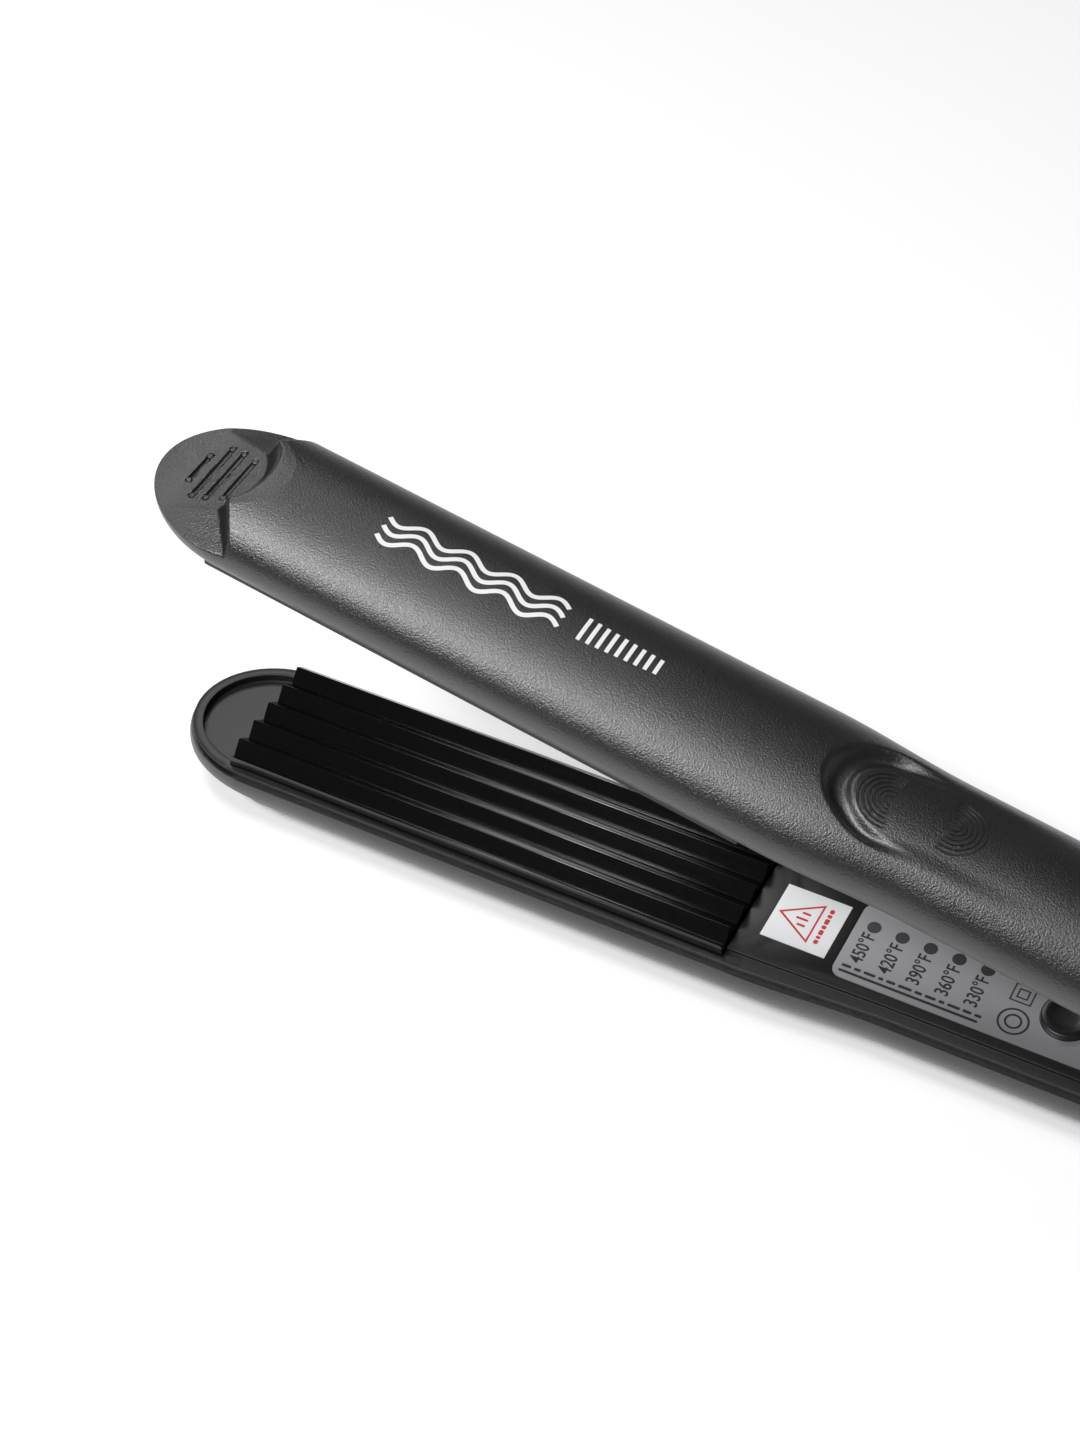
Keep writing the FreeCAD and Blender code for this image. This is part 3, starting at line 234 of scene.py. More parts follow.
def make_mesh(name, points, faces, merge=0.002):
    """A mesh from points in millimetres, with its seams merged and its faces turned outwards."""
    mesh = bpy.data.meshes.new(name)
    mesh.from_pydata([tuple(p) for p in np.asarray(points, float) * MM], [], faces)
    work = bmesh.new()
    work.from_mesh(mesh)
    bmesh.ops.remove_doubles(work, verts=work.verts, dist=merge * MM)
    open_edges = [e for e in work.edges if e.is_boundary]
    if open_edges:
        bmesh.ops.triangle_fill(work, edges=open_edges, use_beauty=True)
    bmesh.ops.recalc_face_normals(work, faces=work.faces)
    work.to_mesh(mesh)
    work.free()
    return mesh


def placed(name, data):
    """A new object in the scene."""
    thing = bpy.data.objects.new(name, data)
    bpy.context.scene.collection.objects.link(thing)
    return thing


def evaluated(thing):
    """The plain mesh of an object once its modifiers have run."""
    bpy.context.view_layer.update()
    graph = bpy.context.evaluated_depsgraph_get()
    return bpy.data.meshes.new_from_object(thing.evaluated_get(graph))


def piece(name, mesh, body, material, stands_for=(), smooth=35):
    """Puts a finished mesh in the scene as one piece of a body."""
    mesh.polygons.foreach_set("use_smooth", [True] * len(mesh.polygons))
    mesh.set_sharp_from_angle(angle=math.radians(smooth))
    mesh.materials.clear()
    mesh.materials.append(material)
    thing = placed(name, mesh)
    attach(thing, body)
    if stands_for:
        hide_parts(*stands_for)
    return thing


hinge = Matrix.Translation((HINGE_X * MM, 0, HINGE_Z * MM))
turn_over = Matrix.Rotation(OPEN_ANGLE, 4, "Y") @ Matrix.Rotation(math.pi, 4, "X")
to_upper = hinge @ turn_over @ hinge.inverted()


def over(mesh):
    """Turns a drawn arm piece over about the closing plane and swings it open on the hinge."""
    mesh.transform(to_upper)
    return mesh


def cad_copy(node, upper=False):
    """A merged copy of a CAD node's mesh, drawn lying on its back."""
    mesh = frame["nodes"][node].data.copy()
    if upper:
        mesh.transform(to_upper.inverted())
    work = bmesh.new()
    work.from_mesh(mesh)
    bmesh.ops.remove_doubles(work, verts=work.verts, dist=0.001 * MM)
    work.to_mesh(mesh)
    work.free()
    return mesh


def softened(mesh, width):
    """A CAD copy with its flat faces made whole and its sharp edges rounded."""
    work = bmesh.new()
    work.from_mesh(mesh)
    bmesh.ops.dissolve_limit(work, angle_limit=math.radians(0.6), verts=work.verts,
                             edges=work.edges, delimit={"NORMAL"})
    sharp = [e for e in work.edges if e.is_manifold and e.calc_face_angle(0) > math.radians(32)]
    bmesh.ops.bevel(work, geom=sharp, offset=width * MM, segments=2, profile=0.5,
                    affect="EDGES", clamp_overlap=True)
    bmesh.ops.triangulate(work, faces=work.faces)
    work.to_mesh(mesh)
    work.free()
    return mesh


def rear_part(node, upper):
    """The hinge end of a shell, cut from the CAD shell just behind the handle."""
    mesh = softened(cad_copy(node, upper), 0.3)
    work = bmesh.new()
    work.from_mesh(mesh)
    everything = work.verts[:] + work.edges[:] + work.faces[:]
    cut = bmesh.ops.bisect_plane(work, geom=everything, plane_co=(JOIN_X * MM, 0, 0),
                                 plane_no=(1, 0, 0), clear_inner=True)
    rim = [e for e in cut["geom_cut"] if isinstance(e, bmesh.types.BMEdge)]
    bmesh.ops.triangle_fill(work, edges=rim, use_beauty=True)
    bmesh.ops.recalc_face_normals(work, faces=work.faces)
    work.to_mesh(mesh)
    work.free()
    return mesh


def joined(name, meshes):
    """One mesh of several."""
    work = bmesh.new()
    for mesh in meshes:
        work.from_mesh(mesh)
    result = bpy.data.meshes.new(name)
    work.to_mesh(result)
    work.free()
    return result


class Value:
    """A number on a shader, so that sums on it add their Math nodes."""

    def __init__(self, finish, socket):
        self.finish = finish
        self.socket = socket

    def maths(self, operation, first, second=None):
        values = {0: first}
        if second is not None:
            values[1] = second
        node = self.finish.node("ShaderNodeMath", {"operation": operation}, values)
        return Value(self.finish, node.outputs[0])

    def __add__(self, other):
        return self.maths("ADD", self, other)

    def __radd__(self, other):
        return self.maths("ADD", other, self)

    def __sub__(self, other):
        return self.maths("SUBTRACT", self, other)

    def __rsub__(self, other):
        return self.maths("SUBTRACT", other, self)

    def __mul__(self, other):
        return self.maths("MULTIPLY", self, other)

    def __rmul__(self, other):
        return self.maths("MULTIPLY", other, self)


class Finish:
    """A material being built: one method adds any node."""

    def __init__(self, name, **constants):
        self.material = bpy.data.materials.new(name)
        self.material.use_nodes = True
        self.tree = self.material.node_tree
        self.shader = self.tree.nodes["Principled BSDF"]
        for socket, value in constants.items():
            self.shader.inputs[socket.replace("_", " ")].default_value = value
        self.place = self.node("ShaderNodeTexCoord").outputs["Object"]

    def node(self, kind, settings=None, sockets=None):
        made = self.tree.nodes.new(kind)
        for key, value in (settings or {}).items():
            if key == "stops":
                ramp = made.color_ramp.elements
                while len(ramp) < len(value):
                    ramp.new(0.5)
                for stop, (position, colour) in zip(ramp, value):
                    stop.position = position
                    stop.color = colour
            else:
                setattr(made, key, value)
        for key, value in (sockets or {}).items():
            if isinstance(value, Value):
                value = value.socket
            if isinstance(value, bpy.types.NodeSocket):
                self.tree.links.new(value, made.inputs[key])
            else:
                made.inputs[key].default_value = value
        return made

    def noise(self, scale, detail=2.0, roughness=0.5):
        made = self.node("ShaderNodeTexNoise", sockets={
            "Vector": self.place, "Scale": scale, "Detail": detail, "Roughness": roughness})
        return Value(self, made.outputs["Fac"])

    def link(self, socket, value):
        value = value.socket if isinstance(value, Value) else value
        self.tree.links.new(value, self.shader.inputs[socket])

    def bump(self, height, distance, strength=1.0):
        made = self.node("ShaderNodeBump", sockets={
            "Height": height, "Distance": distance, "Strength": strength})
        self.link("Normal", made.outputs["Normal"])

    def stretched(self, scales, detail):
        """Noise drawn out into lines, by another scale on each axis."""
        place = self.node("ShaderNodeMapping", {}, {"Vector": self.place, "Scale": scales})
        made = self.node("ShaderNodeTexNoise", sockets={
            "Vector": place.outputs[0], "Scale": 1.0, "Detail": detail})
        return Value(self, made.outputs["Fac"])

    def mix(self, factor, first, second):
        made = self.node("ShaderNodeMix", {"data_type": "RGBA"}, {0: factor, 6: first, 7: second})
        return made.outputs[2]


def grained(name, dark, light, roughness, grain, depth, spread=0.06, **constants):
    """Moulded plastic: fine spark-eroded grain, and slow changes of tone and gloss."""
    finish = Finish(name, **constants)
    fine = finish.noise(grain, 3.0, 0.6)
    slow = finish.noise(28.0, 3.0, 0.55)
    finish.link("Base Color", finish.mix(slow, dark, light))
    finish.link("Roughness", roughness + spread * (slow - 0.5) + spread * (fine - 0.5))
    finish.bump(fine, depth)
    return finish.material


soft_touch = grained("soft_touch_black", (0.0065, 0.0065, 0.007, 1), (0.0105, 0.0105, 0.0112, 1),
                     0.31, 3000.0, 0.00011, Specular_IOR_Level=1.0)


def finished_shell(name, node, body, upper):
    """A whole shell: the drawn front with its grooves and arcs, and the CAD hinge end."""
    points, faces = shell_front(JOIN_X)
    front = carved(make_mesh(name, points, faces), groove_cutters())
    mesh = joined(name, [front, rear_part(node, upper)] + grip_rings())
    if upper:
        over(mesh)
        top = cad_box[1].z - 0.00002
        for vertex in mesh.vertices:
            if vertex.co.z > top - 0.0004:
                vertex.co.z = float(soft_min(vertex.co.z, top, 0.0008))
    return piece(name, mesh, body, soft_touch, [node], smooth=40)


def carved(mesh, cutters):
    """The mesh with every cutter taken out of it."""
    base = placed("being_carved", mesh)
    tool = placed("cutter", joined("cutters", cutters))
    cut = base.modifiers.new("cut", "BOOLEAN")
    cut.operation = "DIFFERENCE"
    cut.solver = "MANIFOLD"
    cut.object = tool
    result = evaluated(base)
    for thing in (base, tool):
        bpy.data.objects.remove(thing)
    return result


def groove_cutters():
    """Round-ended bars that cut the four grip grooves of the tip pad."""
    bars = []
    for along, length in ((-9.3, 7.6), (-6.7, 13.6), (-4.2, 12.8), (-1.4, 10.8)):
        x = PLATE_START + along
        z = DECK - pad_depth(along) - 0.05
        work = bmesh.new()
        bmesh.ops.create_uvsphere(work, u_segments=16, v_segments=10, radius=0.5 * MM)
        for vertex in work.verts:
            vertex.co.y += math.copysign((length / 2 - 0.5) * MM, vertex.co.y)
        for end in (-1, 1):
            pit = bmesh.ops.create_uvsphere(work, u_segments=16, v_segments=10, radius=0.6 * MM)
            for vertex in pit["verts"]:
                vertex.co.y += end * (length / 2 - 0.5) * MM
        for vertex in work.verts:
            vertex.co += Vector((x, 0, z)) * MM
        bar = bpy.data.meshes.new("bar")
        work.to_mesh(bar)
        work.free()
        bars.append(bar)
    return bars


def tube(path, radius):
    """A closed six-sided bar along points in millimetres."""
    sides = 6
    ahead = np.gradient(path, axis=0)
    ahead /= np.linalg.norm(ahead, axis=1)[:, None]
    side = np.cross(ahead, [0.0, 0.0, 1.0])
    side /= np.linalg.norm(side, axis=1)[:, None]
    up = np.cross(side, ahead)
    rings = []
    for k in range(sides):
        angle = 2 * math.pi * k / sides
        rings.append(path + radius * (math.cos(angle) * side + math.sin(angle) * up))
    points = np.stack(rings, 1).reshape(-1, 3)
    faces = [tuple(range(sides))]
    for i in range(len(path) - 1):
        for k in range(sides):
            a, b = i * sides + k, i * sides + (k + 1) % sides
            faces.append((a, b, b + sides, a + sides))
    faces.append(tuple(len(points) - sides + k for k in range(sides)))
    return make_mesh("bar", points, faces)


def grip_rings():
    """Fine raised arcs round two centres on the thumb grip."""
    bars = []
    for along, across, first, last in ((120.0, 0.6, 75, 285), (130.9, -0.6, -105, 105)):
        for k in range(6):
            radius = 0.9 + 0.85 * k
            turn = np.radians(np.linspace(first, last, 40))
            x = PLATE_START + along + radius * np.cos(turn)
            y = across + radius * np.sin(turn)
            bars.append(tube(np.column_stack([x, y, DECK - back_surface(x, y) - 0.02]), 0.2))
    return bars


finished_shell("lower_back", "lower_shell", "lower_arm", False)
finished_shell("upper_back", "upper_shell", "upper_arm", True)

# ---------------------------------------------------------------- tail cover
# The half barrel that closes the tail over the swivelling cord sleeve.
# It is moulded in the same plastic as the shells and clips on, with soft edges all round.

piece("tail_half_barrel", softened(cad_copy("tail_cover"), 0.35), "lower_arm", soft_touch,
      ["tail_cover"])

# ---------------------------------------------------------------- cord sleeve
# A turning sleeve of tough black plastic, held by its inner flange in the tail.
# It is a turned shape with a ring of grip ribs on its nose, and the cord passes through its bore.

gland_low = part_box("swivel_gland")[0]
TAIL_END = shell_high.x / MM
BORE = 3.1


def turned(name, outline, centre, axis, steps=72):
    """A closed turned body: (along, radius) pairs spun round an axis through centre."""
    outline = np.asarray(outline, float)
    turn = np.linspace(0, 2 * math.pi, steps, endpoint=False)
    points, faces = [], []
    for along, radius in outline:
        for angle in turn:
            a, b = radius * math.cos(angle), radius * math.sin(angle)
            points.append({"X": (along, a, b), "Y": (a, along, b), "Z": (a, b, along)}[axis])
    count = len(outline)
    closed = outline[0][1] > 0
    for i in range(count if closed else count - 1):
        first, second = i * steps, (i + 1) % count * steps
        for k in range(steps):
            n = (k + 1) % steps
            faces.append((first + k, first + n, second + n, second + k))
    return make_mesh(name, np.asarray(points) + np.asarray(centre, float), faces)


def rounded(outline, radius, steps=4):
    """The corners of an outline of (along, radius) pairs, rounded; the first and last stay."""
    outline = [np.asarray(p, float) for p in outline]
    result = [outline[0]]
    for before, corner, after in zip(outline, outline[1:], outline[2:]):
        a, b = before - corner, after - corner
        reach = min(radius, 0.45 * np.linalg.norm(a), 0.45 * np.linalg.norm(b))
        start = corner + a / np.linalg.norm(a) * reach
        stop = corner + b / np.linalg.norm(b) * reach
        for t in np.linspace(0, 1, steps + 1):
            result.append((1 - t) ** 2 * start + 2 * t * (1 - t) * corner + t * t * stop)
    result.append(outline[-1])
    return result


def node_tree(name, sizes):
    """A Geometry Nodes tree with named number inputs; gives the tree and its input node."""
    tree = bpy.data.node_groups.new(name, "GeometryNodeTree")
    tree.interface.new_socket("Geometry", in_out="INPUT", socket_type="NodeSocketGeometry")
    for size, kind in sizes:
        tree.interface.new_socket(size, in_out="INPUT", socket_type=kind)
    tree.interface.new_socket("Geometry", in_out="OUTPUT", socket_type="NodeSocketGeometry")
    return tree, tree.nodes.new("NodeGroupInput")


def add_node(tree, kind, settings=None, sockets=None):
    """A node with its settings, and its sockets linked or given constants."""
    made = tree.nodes.new(kind)
    for key, value in (settings or {}).items():
        setattr(made, key, value)
    for key, value in (sockets or {}).items():
        if isinstance(value, bpy.types.NodeSocket):
            tree.links.new(value, made.inputs[key])
        else:
            made.inputs[key].default_value = value
    return made


def end_tree(tree, instances, material):
    """Makes a tree's copies real, gives them their material and sends them out."""
    real = add_node(tree, "GeometryNodeRealizeInstances", sockets={"Geometry": instances})
    finish = add_node(tree, "GeometryNodeSetMaterial", sockets={
        "Geometry": real.outputs["Geometry"], "Material": material})
    add_node(tree, "NodeGroupOutput", sockets={"Geometry": finish.outputs["Geometry"]})


def copies_tree(name):
    """Sets one copy of a master shape on every point, turned at random about its own axis."""
    tree, group = node_tree(name, [("Master", "NodeSocketObject"), ("Axis", "NodeSocketVector"),
                                   ("Seed", "NodeSocketInt"), ("Finish", "NodeSocketMaterial")])
    master = add_node(tree, "GeometryNodeObjectInfo", sockets={"Object": group.outputs["Master"]})
    angle = add_node(tree, "FunctionNodeRandomValue", {"data_type": "FLOAT"},
                     {2: 0.0, 3: 2 * math.pi, "Seed": group.outputs["Seed"]})
    spin = add_node(tree, "FunctionNodeAxisAngleToRotation",
                    sockets={"Axis": group.outputs["Axis"], "Angle": angle.outputs[1]})
    place = add_node(tree, "GeometryNodeInstanceOnPoints", sockets={
        "Points": group.outputs["Geometry"], "Instance": master.outputs["Geometry"],
        "Rotation": spin.outputs[0]})
    end_tree(tree, place.outputs["Instances"], group.outputs["Finish"])
    return tree


def grown(name, start_mesh, tree, inputs):
    """The plain mesh that a tree makes of a start mesh, with the tree's inputs set first."""
    base = placed(name, start_mesh)
    grow = base.modifiers.new("grow", "NODES")
    grow.node_group = tree
    for item in tree.interface.items_tree:
        if item.in_out == "INPUT" and item.name in inputs:
            grow[item.identifier] = inputs[item.name]
    mesh = evaluated(base)
    base.modifiers.remove(grow)
    bpy.data.objects.remove(base)
    return mesh


def ribs_tree():
    """Small upright ribs in a ring round the X axis."""
    tree, group = node_tree("sleeve_ribs", [
        ("Ribs", "NodeSocketInt"), ("Length", "NodeSocketFloat"), ("Height", "NodeSocketFloat"),
        ("Width", "NodeSocketFloat"), ("Radius", "NodeSocketFloat"),
        ("Finish", "NodeSocketMaterial")])
    size = add_node(tree, "ShaderNodeCombineXYZ", sockets={
        0: group.outputs["Length"], 1: group.outputs["Width"], 2: group.outputs["Height"]})
    rib = add_node(tree, "GeometryNodeMeshCube", sockets={
        "Size": size.outputs[0], "Vertices X": 3, "Vertices Y": 3, "Vertices Z": 2})
    ring = add_node(tree, "GeometryNodeMeshCircle", sockets={
        "Vertices": group.outputs["Ribs"], "Radius": group.outputs["Radius"]})
    upright = add_node(tree, "GeometryNodeTransform", sockets={
        "Geometry": ring.outputs["Mesh"], "Rotation": (0, math.pi / 2, 0)})
    outward = add_node(tree, "GeometryNodeInputPosition")
    turn = add_node(tree, "FunctionNodeAlignRotationToVector", {"axis": "Z"},
                    {"Vector": outward.outputs[0]})
    place = add_node(tree, "GeometryNodeInstanceOnPoints", sockets={
        "Points": upright.outputs["Geometry"], "Instance": rib.outputs["Mesh"],
        "Rotation": turn.outputs[0]})
    end_tree(tree, place.outputs["Instances"], group.outputs["Finish"])
    return tree


sleeve_plastic = grained("sleeve_black", (0.012, 0.012, 0.0125, 1), (0.018, 0.018, 0.019, 1),
                         0.5, 3000.0, 0.00006)
sleeve_start = gland_low.x / MM
sleeve_outline = rounded([
    (sleeve_start + 3, BORE), (sleeve_start, BORE), (sleeve_start, 8.0), (sleeve_start + 1.8, 8.0),
    (sleeve_start + 1.8, 6.0), (TAIL_END + 1.0, 6.0), (TAIL_END + 1.0, 5.3),
    (TAIL_END + 2.2, 5.3), (TAIL_END + 2.2, 5.75), (TAIL_END + 3.2, 5.65),
    (TAIL_END + 3.2, 5.1), (TAIL_END + 4.4, 5.1), (TAIL_END + 4.4, 5.45), (TAIL_END + 5.4, 5.3),
    (TAIL_END + 5.4, 4.7), (TAIL_END + 6.4, 4.7), (TAIL_END + 6.4, 5.05),
    (TAIL_END + 8.0, 4.75), (TAIL_END + 8.0, BORE + 0.5), (TAIL_END + 7.5, BORE),
    (sleeve_start + 4, BORE)], 0.3)
sleeve = turned("cord_sleeve", sleeve_outline, (0, 0, HINGE_Z), "X")
ribs = grown("ribs", bpy.data.meshes.new("start"), ribs_tree(), {
    "Ribs": 24, "Length": 5.2 * MM, "Height": 0.8 * MM, "Width": 0.5 * MM, "Radius": 4.95 * MM,
    "Finish": sleeve_plastic})
ribs.transform(Matrix.Translation(((TAIL_END + 3.7) * MM, 0, HINGE_Z * MM)))
piece("cord_sleeve", joined("cord_sleeve", [sleeve, ribs]), "gland", sleeve_plastic,
      ["swivel_gland"])

# ---------------------------------------------------------------- inner covers
# The flat inner face of each arm, a satin black moulding with a raised deck inside a lower rim.
# It carries the plate in an opening, and three screws hold it to the shell.

cover_satin = grained("cover_satin_black", (0.007, 0.007, 0.0075, 1), (0.011, 0.011, 0.0115, 1),
                      0.38, 4200.0, 0.00003)
CAD_TIP_X = PLATE_START - 1.25


def oval_tip(mesh):
    """Draws the round tip of a copy in to the oval one of the shells."""
    radius = CAD_TIP_X - shell_low.x / MM
    for vertex in mesh.vertices:
        x = vertex.co.x / MM
        if x < NOSE_X:
            oval = math.sqrt(max(1 - ((NOSE_X - x) / NOSE_LENGTH) ** 2, 1e-4))
            ahead = max(CAD_TIP_X - x, 0) / radius
            vertex.co.y *= oval / math.sqrt(max(1 - ahead ** 2, 1e-4))
    return mesh


def divided(mesh, longest):
    """A copy's long edges cut near the tip, so that it can be bent there."""
    work = bmesh.new()
    work.from_mesh(mesh)
    for _ in range(5):
        long_edges = [e for e in work.edges if e.calc_length() > longest * MM
                      and min(v.co.x for v in e.verts) < (NOSE_X + 3) * MM]
        if not long_edges:
            break
        bmesh.ops.subdivide_edges(work, edges=long_edges, cuts=1)
        bmesh.ops.triangulate(work, faces=work.faces)
    work.to_mesh(mesh)
    work.free()
    return mesh


def finished_cover(name, node, body, upper):
    """An inner cover, copied from the CAD one with softer edges and the oval tip."""
    mesh = oval_tip(divided(softened(cad_copy(node, upper), 0.22), 1.2))
    if upper:
        over(mesh)
    return piece(name, mesh, body, cover_satin, [node], smooth=32)


finished_cover("lower_face", "lower_inner_cover", "lower_arm", False)
finished_cover("upper_face", "upper_inner_cover", "upper_arm", True)

# ---------------------------------------------------------------- crimping plates
# Ridged aluminium plates with a glossy black ceramic coating, five ridges to each.
# The coating runs over rounded crests, and rails below carry the plates on their cushions.

PITCH = 5.0
RIDGE_HEIGHT = 2.3
SEAT = DECK - 0.8
CREST = plate_high.z / MM
PLATE_HALF = plate_high.y / MM

plate_gloss = Finish("plate_gloss_black", Specular_IOR_Level=0.3)
streaks = plate_gloss.stretched((60.0, 1400.0, 1400.0), 3.0)
coat = plate_gloss.noise(900.0, 4.0, 0.6)
plate_gloss.link("Base Color", plate_gloss.mix(coat, (0.002, 0.002, 0.0022, 1),
                                               (0.0045, 0.0045, 0.005, 1)))
plate_gloss.link("Roughness", 0.12 + 0.06 * streaks + 0.04 * coat)
plate_gloss.bump(coat, 0.000006)


def ridge_height(y):
    """Height of the ridged face across the plate, with softly rounded crests and valleys."""
    wave = np.abs((((y + PLATE_HALF) / PITCH + 0.25) % 1.0) - 0.5) * 4 - 1
    limit = 0.9
    past = np.clip((np.abs(wave) - limit) / (1 - limit), 0, 1)
    bent = limit + (1 - limit) * (1 - (1 - past) ** 2) / 2
    wave = np.where(past > 0, np.sign(wave) * bent, wave)
    tallest = (1 + limit) / 2
    return CREST - RIDGE_HEIGHT / 2 + wave * RIDGE_HEIGHT / 2 / tallest


def prism(first, second):
    """A closed bar between two outlines with as many points each, in millimetres."""
    n = len(first)
    walls = [(i, (i + 1) % n, n + (i + 1) % n, n + i) for i in range(n)]
    ends = [tuple(range(n)), tuple(range(n, 2 * n))]
    return make_mesh("prism", list(first) + list(second), walls + ends)


def crimping_plate(upper):
    """A plate with its ridged face, rounded ends and the two rails below it."""
    across = np.linspace(-PLATE_HALF, PLATE_HALF, 251)
    top = np.minimum(ridge_height(across), CREST)
    ends = ((0.0, 0.3), (0.1, 0.1), (0.3, 0.0))
    rows = [(PLATE_START + x, drop) for x, drop in ends] + [(0.0, 0.0)]
    rows += [(PLATE_END - x, drop) for x, drop in reversed(ends)]
    points = [(x, y, z - drop) for x, drop in rows for y, z in zip(across, top)]
    count = len(across)
    faces = []
    for j in range(len(rows) - 1):
        for i in range(count - 1):
            a = j * count + i
            faces.append((a, a + 1, a + count + 1, a + count))
    low = len(points)
    points += [(x, y, SEAT) for x in (PLATE_START, PLATE_END) for y in across[[0, -1]]]
    last = (len(rows) - 1) * count
    faces.append(tuple(range(count)) + (low + 1, low))
    faces.append(tuple(range(last, last + count)) + (low + 3, low + 2))
    faces.append(tuple(range(0, last + 1, count)) + (low + 2, low))
    faces.append(tuple(range(count - 1, last + count, count)) + (low + 3, low + 1))
    faces.append((low, low + 1, low + 3, low + 2))
    parts = [make_mesh("plate", points, faces)]
    section = [(8.2, SEAT + 0.2), (8.2, 9.4), (7.4, 9.4), (7.4, 8.6), (9.7, 8.6),
               (9.7, SEAT + 0.2)]
    for side in (-1, 1):
        parts.append(prism(*([(x, side * y, z) for y, z in section]
                             for x in (PLATE_START + 8, PLATE_END - 8))))
    mesh = joined("plate", parts)
    return over(mesh) if upper else mesh


piece("lower_ridged_plate", crimping_plate(False), "lower_arm", plate_gloss.material,
      ["lower_crimp_plate"])
piece("upper_ridged_plate", crimping_plate(True), "upper_arm", plate_gloss.material,
      ["upper_crimp_plate"])

# ---------------------------------------------------------------- heaters, clamps and cushions
# Flat fired ceramic heaters lie under the plates, each pressed up by a sprung steel clamp.
# Four silicone cushions let a plate settle against the hair.


def dress(finish, *nodes):
    """Gives a finish to CAD nodes whose shape is right as it is."""
    for node in nodes:
        data = frame["nodes"][node].data
        data.materials.clear()
        data.materials.append(finish)


ceramic = grained("fired_ceramic", (0.70, 0.69, 0.64, 1), (0.82, 0.81, 0.77, 1), 0.55, 2500.0,
                  0.00004)
dress(ceramic, "lower_heater", "upper_heater")


def drawn_metal(name, dark, light, roughness):
    """Metal with fine drawing lines along the part."""
    finish = Finish(name, Metallic=1.0)
    lines = finish.stretched((200.0, 5000.0, 5000.0), 3.0)
    patch = finish.noise(300.0, 3.0)
    finish.link("Base Color", finish.mix(patch, dark, light))
    finish.link("Roughness", roughness + 0.15 * (lines - 0.5) + 0.1 * (patch - 0.5))
    finish.bump(lines, 0.00002)
    return finish.material


spring_steel = drawn_metal("spring_steel", (0.45, 0.44, 0.42, 1), (0.56, 0.55, 0.53, 1), 0.3)
dress(spring_steel, "lower_heater_clamp", "upper_heater_clamp", "opening_spring")
silicone = grained("red_silicone", (0.42, 0.10, 0.07, 1), (0.52, 0.15, 0.11, 1), 0.5, 1800.0,
                   0.00005)
dress(silicone, "lower_plate_cushions", "upper_plate_cushions")

# ---------------------------------------------------------------- sensors, fuse and leads
# A glass bead sensor reads each plate, and a thermal fuse guards the lower heater.
# The leads run in woven glass sleeving to the handle.

bead_glass = grained("sensor_glass", (0.30, 0.13, 0.05, 1), (0.42, 0.20, 0.09, 1), 0.12, 900.0,
                     0.00002)
dress(bead_glass, "lower_heat_sensor", "upper_heat_sensor")
sleeving = Finish("woven_sleeving", Roughness=0.8)
weave = []
for angle in (0.7, -0.7):
    turned_place = sleeving.node("ShaderNodeMapping", {}, {
        "Vector": sleeving.place, "Rotation": (0.3, angle, angle)})
    band = sleeving.node("ShaderNodeTexWave", {"bands_direction": "X"}, {
        "Vector": turned_place.outputs[0], "Scale": 900.0, "Distortion": 1.0})
    weave.append(Value(sleeving, band.outputs["Fac"]))
threads = weave[0] * weave[1]
sleeving.link("Base Color", sleeving.mix(threads, (0.62, 0.60, 0.55, 1), (0.85, 0.84, 0.80, 1)))
sleeving.link("Roughness", 0.7 + 0.2 * threads)
sleeving.bump(threads, 0.00008)
dress(sleeving.material, "lower_heater_leads", "upper_heater_leads")
can_metal = drawn_metal("tinned_can", (0.60, 0.60, 0.58, 1), (0.72, 0.72, 0.70, 1), 0.28)
dress(can_metal, "thermal_fuse")

# ---------------------------------------------------------------- circuit board and switch
# A green glass-fibre board under the panel, with five light chips and a push switch soldered on.

board = Finish("board_green", Roughness=0.4, Coat_Weight=0.3)
tracks = board.node("ShaderNodeTexBrick", {"offset": 0.35}, {
    "Vector": board.place, "Scale": 420.0, "Mortar Size": 0.06, "Color1": (0, 0, 0, 1),
    "Color2": (0.2, 0.2, 0.2, 1), "Mortar": (1, 1, 1, 1)})
cloth = board.noise(2200.0, 2.0)
track_mask = Value(board, tracks.outputs["Fac"])
board.link("Base Color", board.mix(track_mask, (0.006, 0.075, 0.03, 1), (0.02, 0.17, 0.07, 1)))
board.link("Roughness", 0.34 + 0.12 * cloth)
board.bump(0.7 * track_mask + 0.3 * cloth, 0.00004)
dress(board.material, "circuit_board")
chip = grained("chip_white", (0.78, 0.78, 0.72, 1), (0.88, 0.88, 0.84, 1), 0.4, 3000.0, 0.00002)
dress(chip, "led_chips")
switch_body = grained("switch_black", (0.010, 0.010, 0.010, 1), (0.02, 0.02, 0.02, 1), 0.4,
                      3200.0, 0.00003)
dress(switch_body, "tact_switch")

# ---------------------------------------------------------------- control panel and windows
# A satin grey film panel in a pocket of the deck, with five smoked windows over the lights.
# Its printing is one temperature beside each window, with plain bars, a ring and a square.

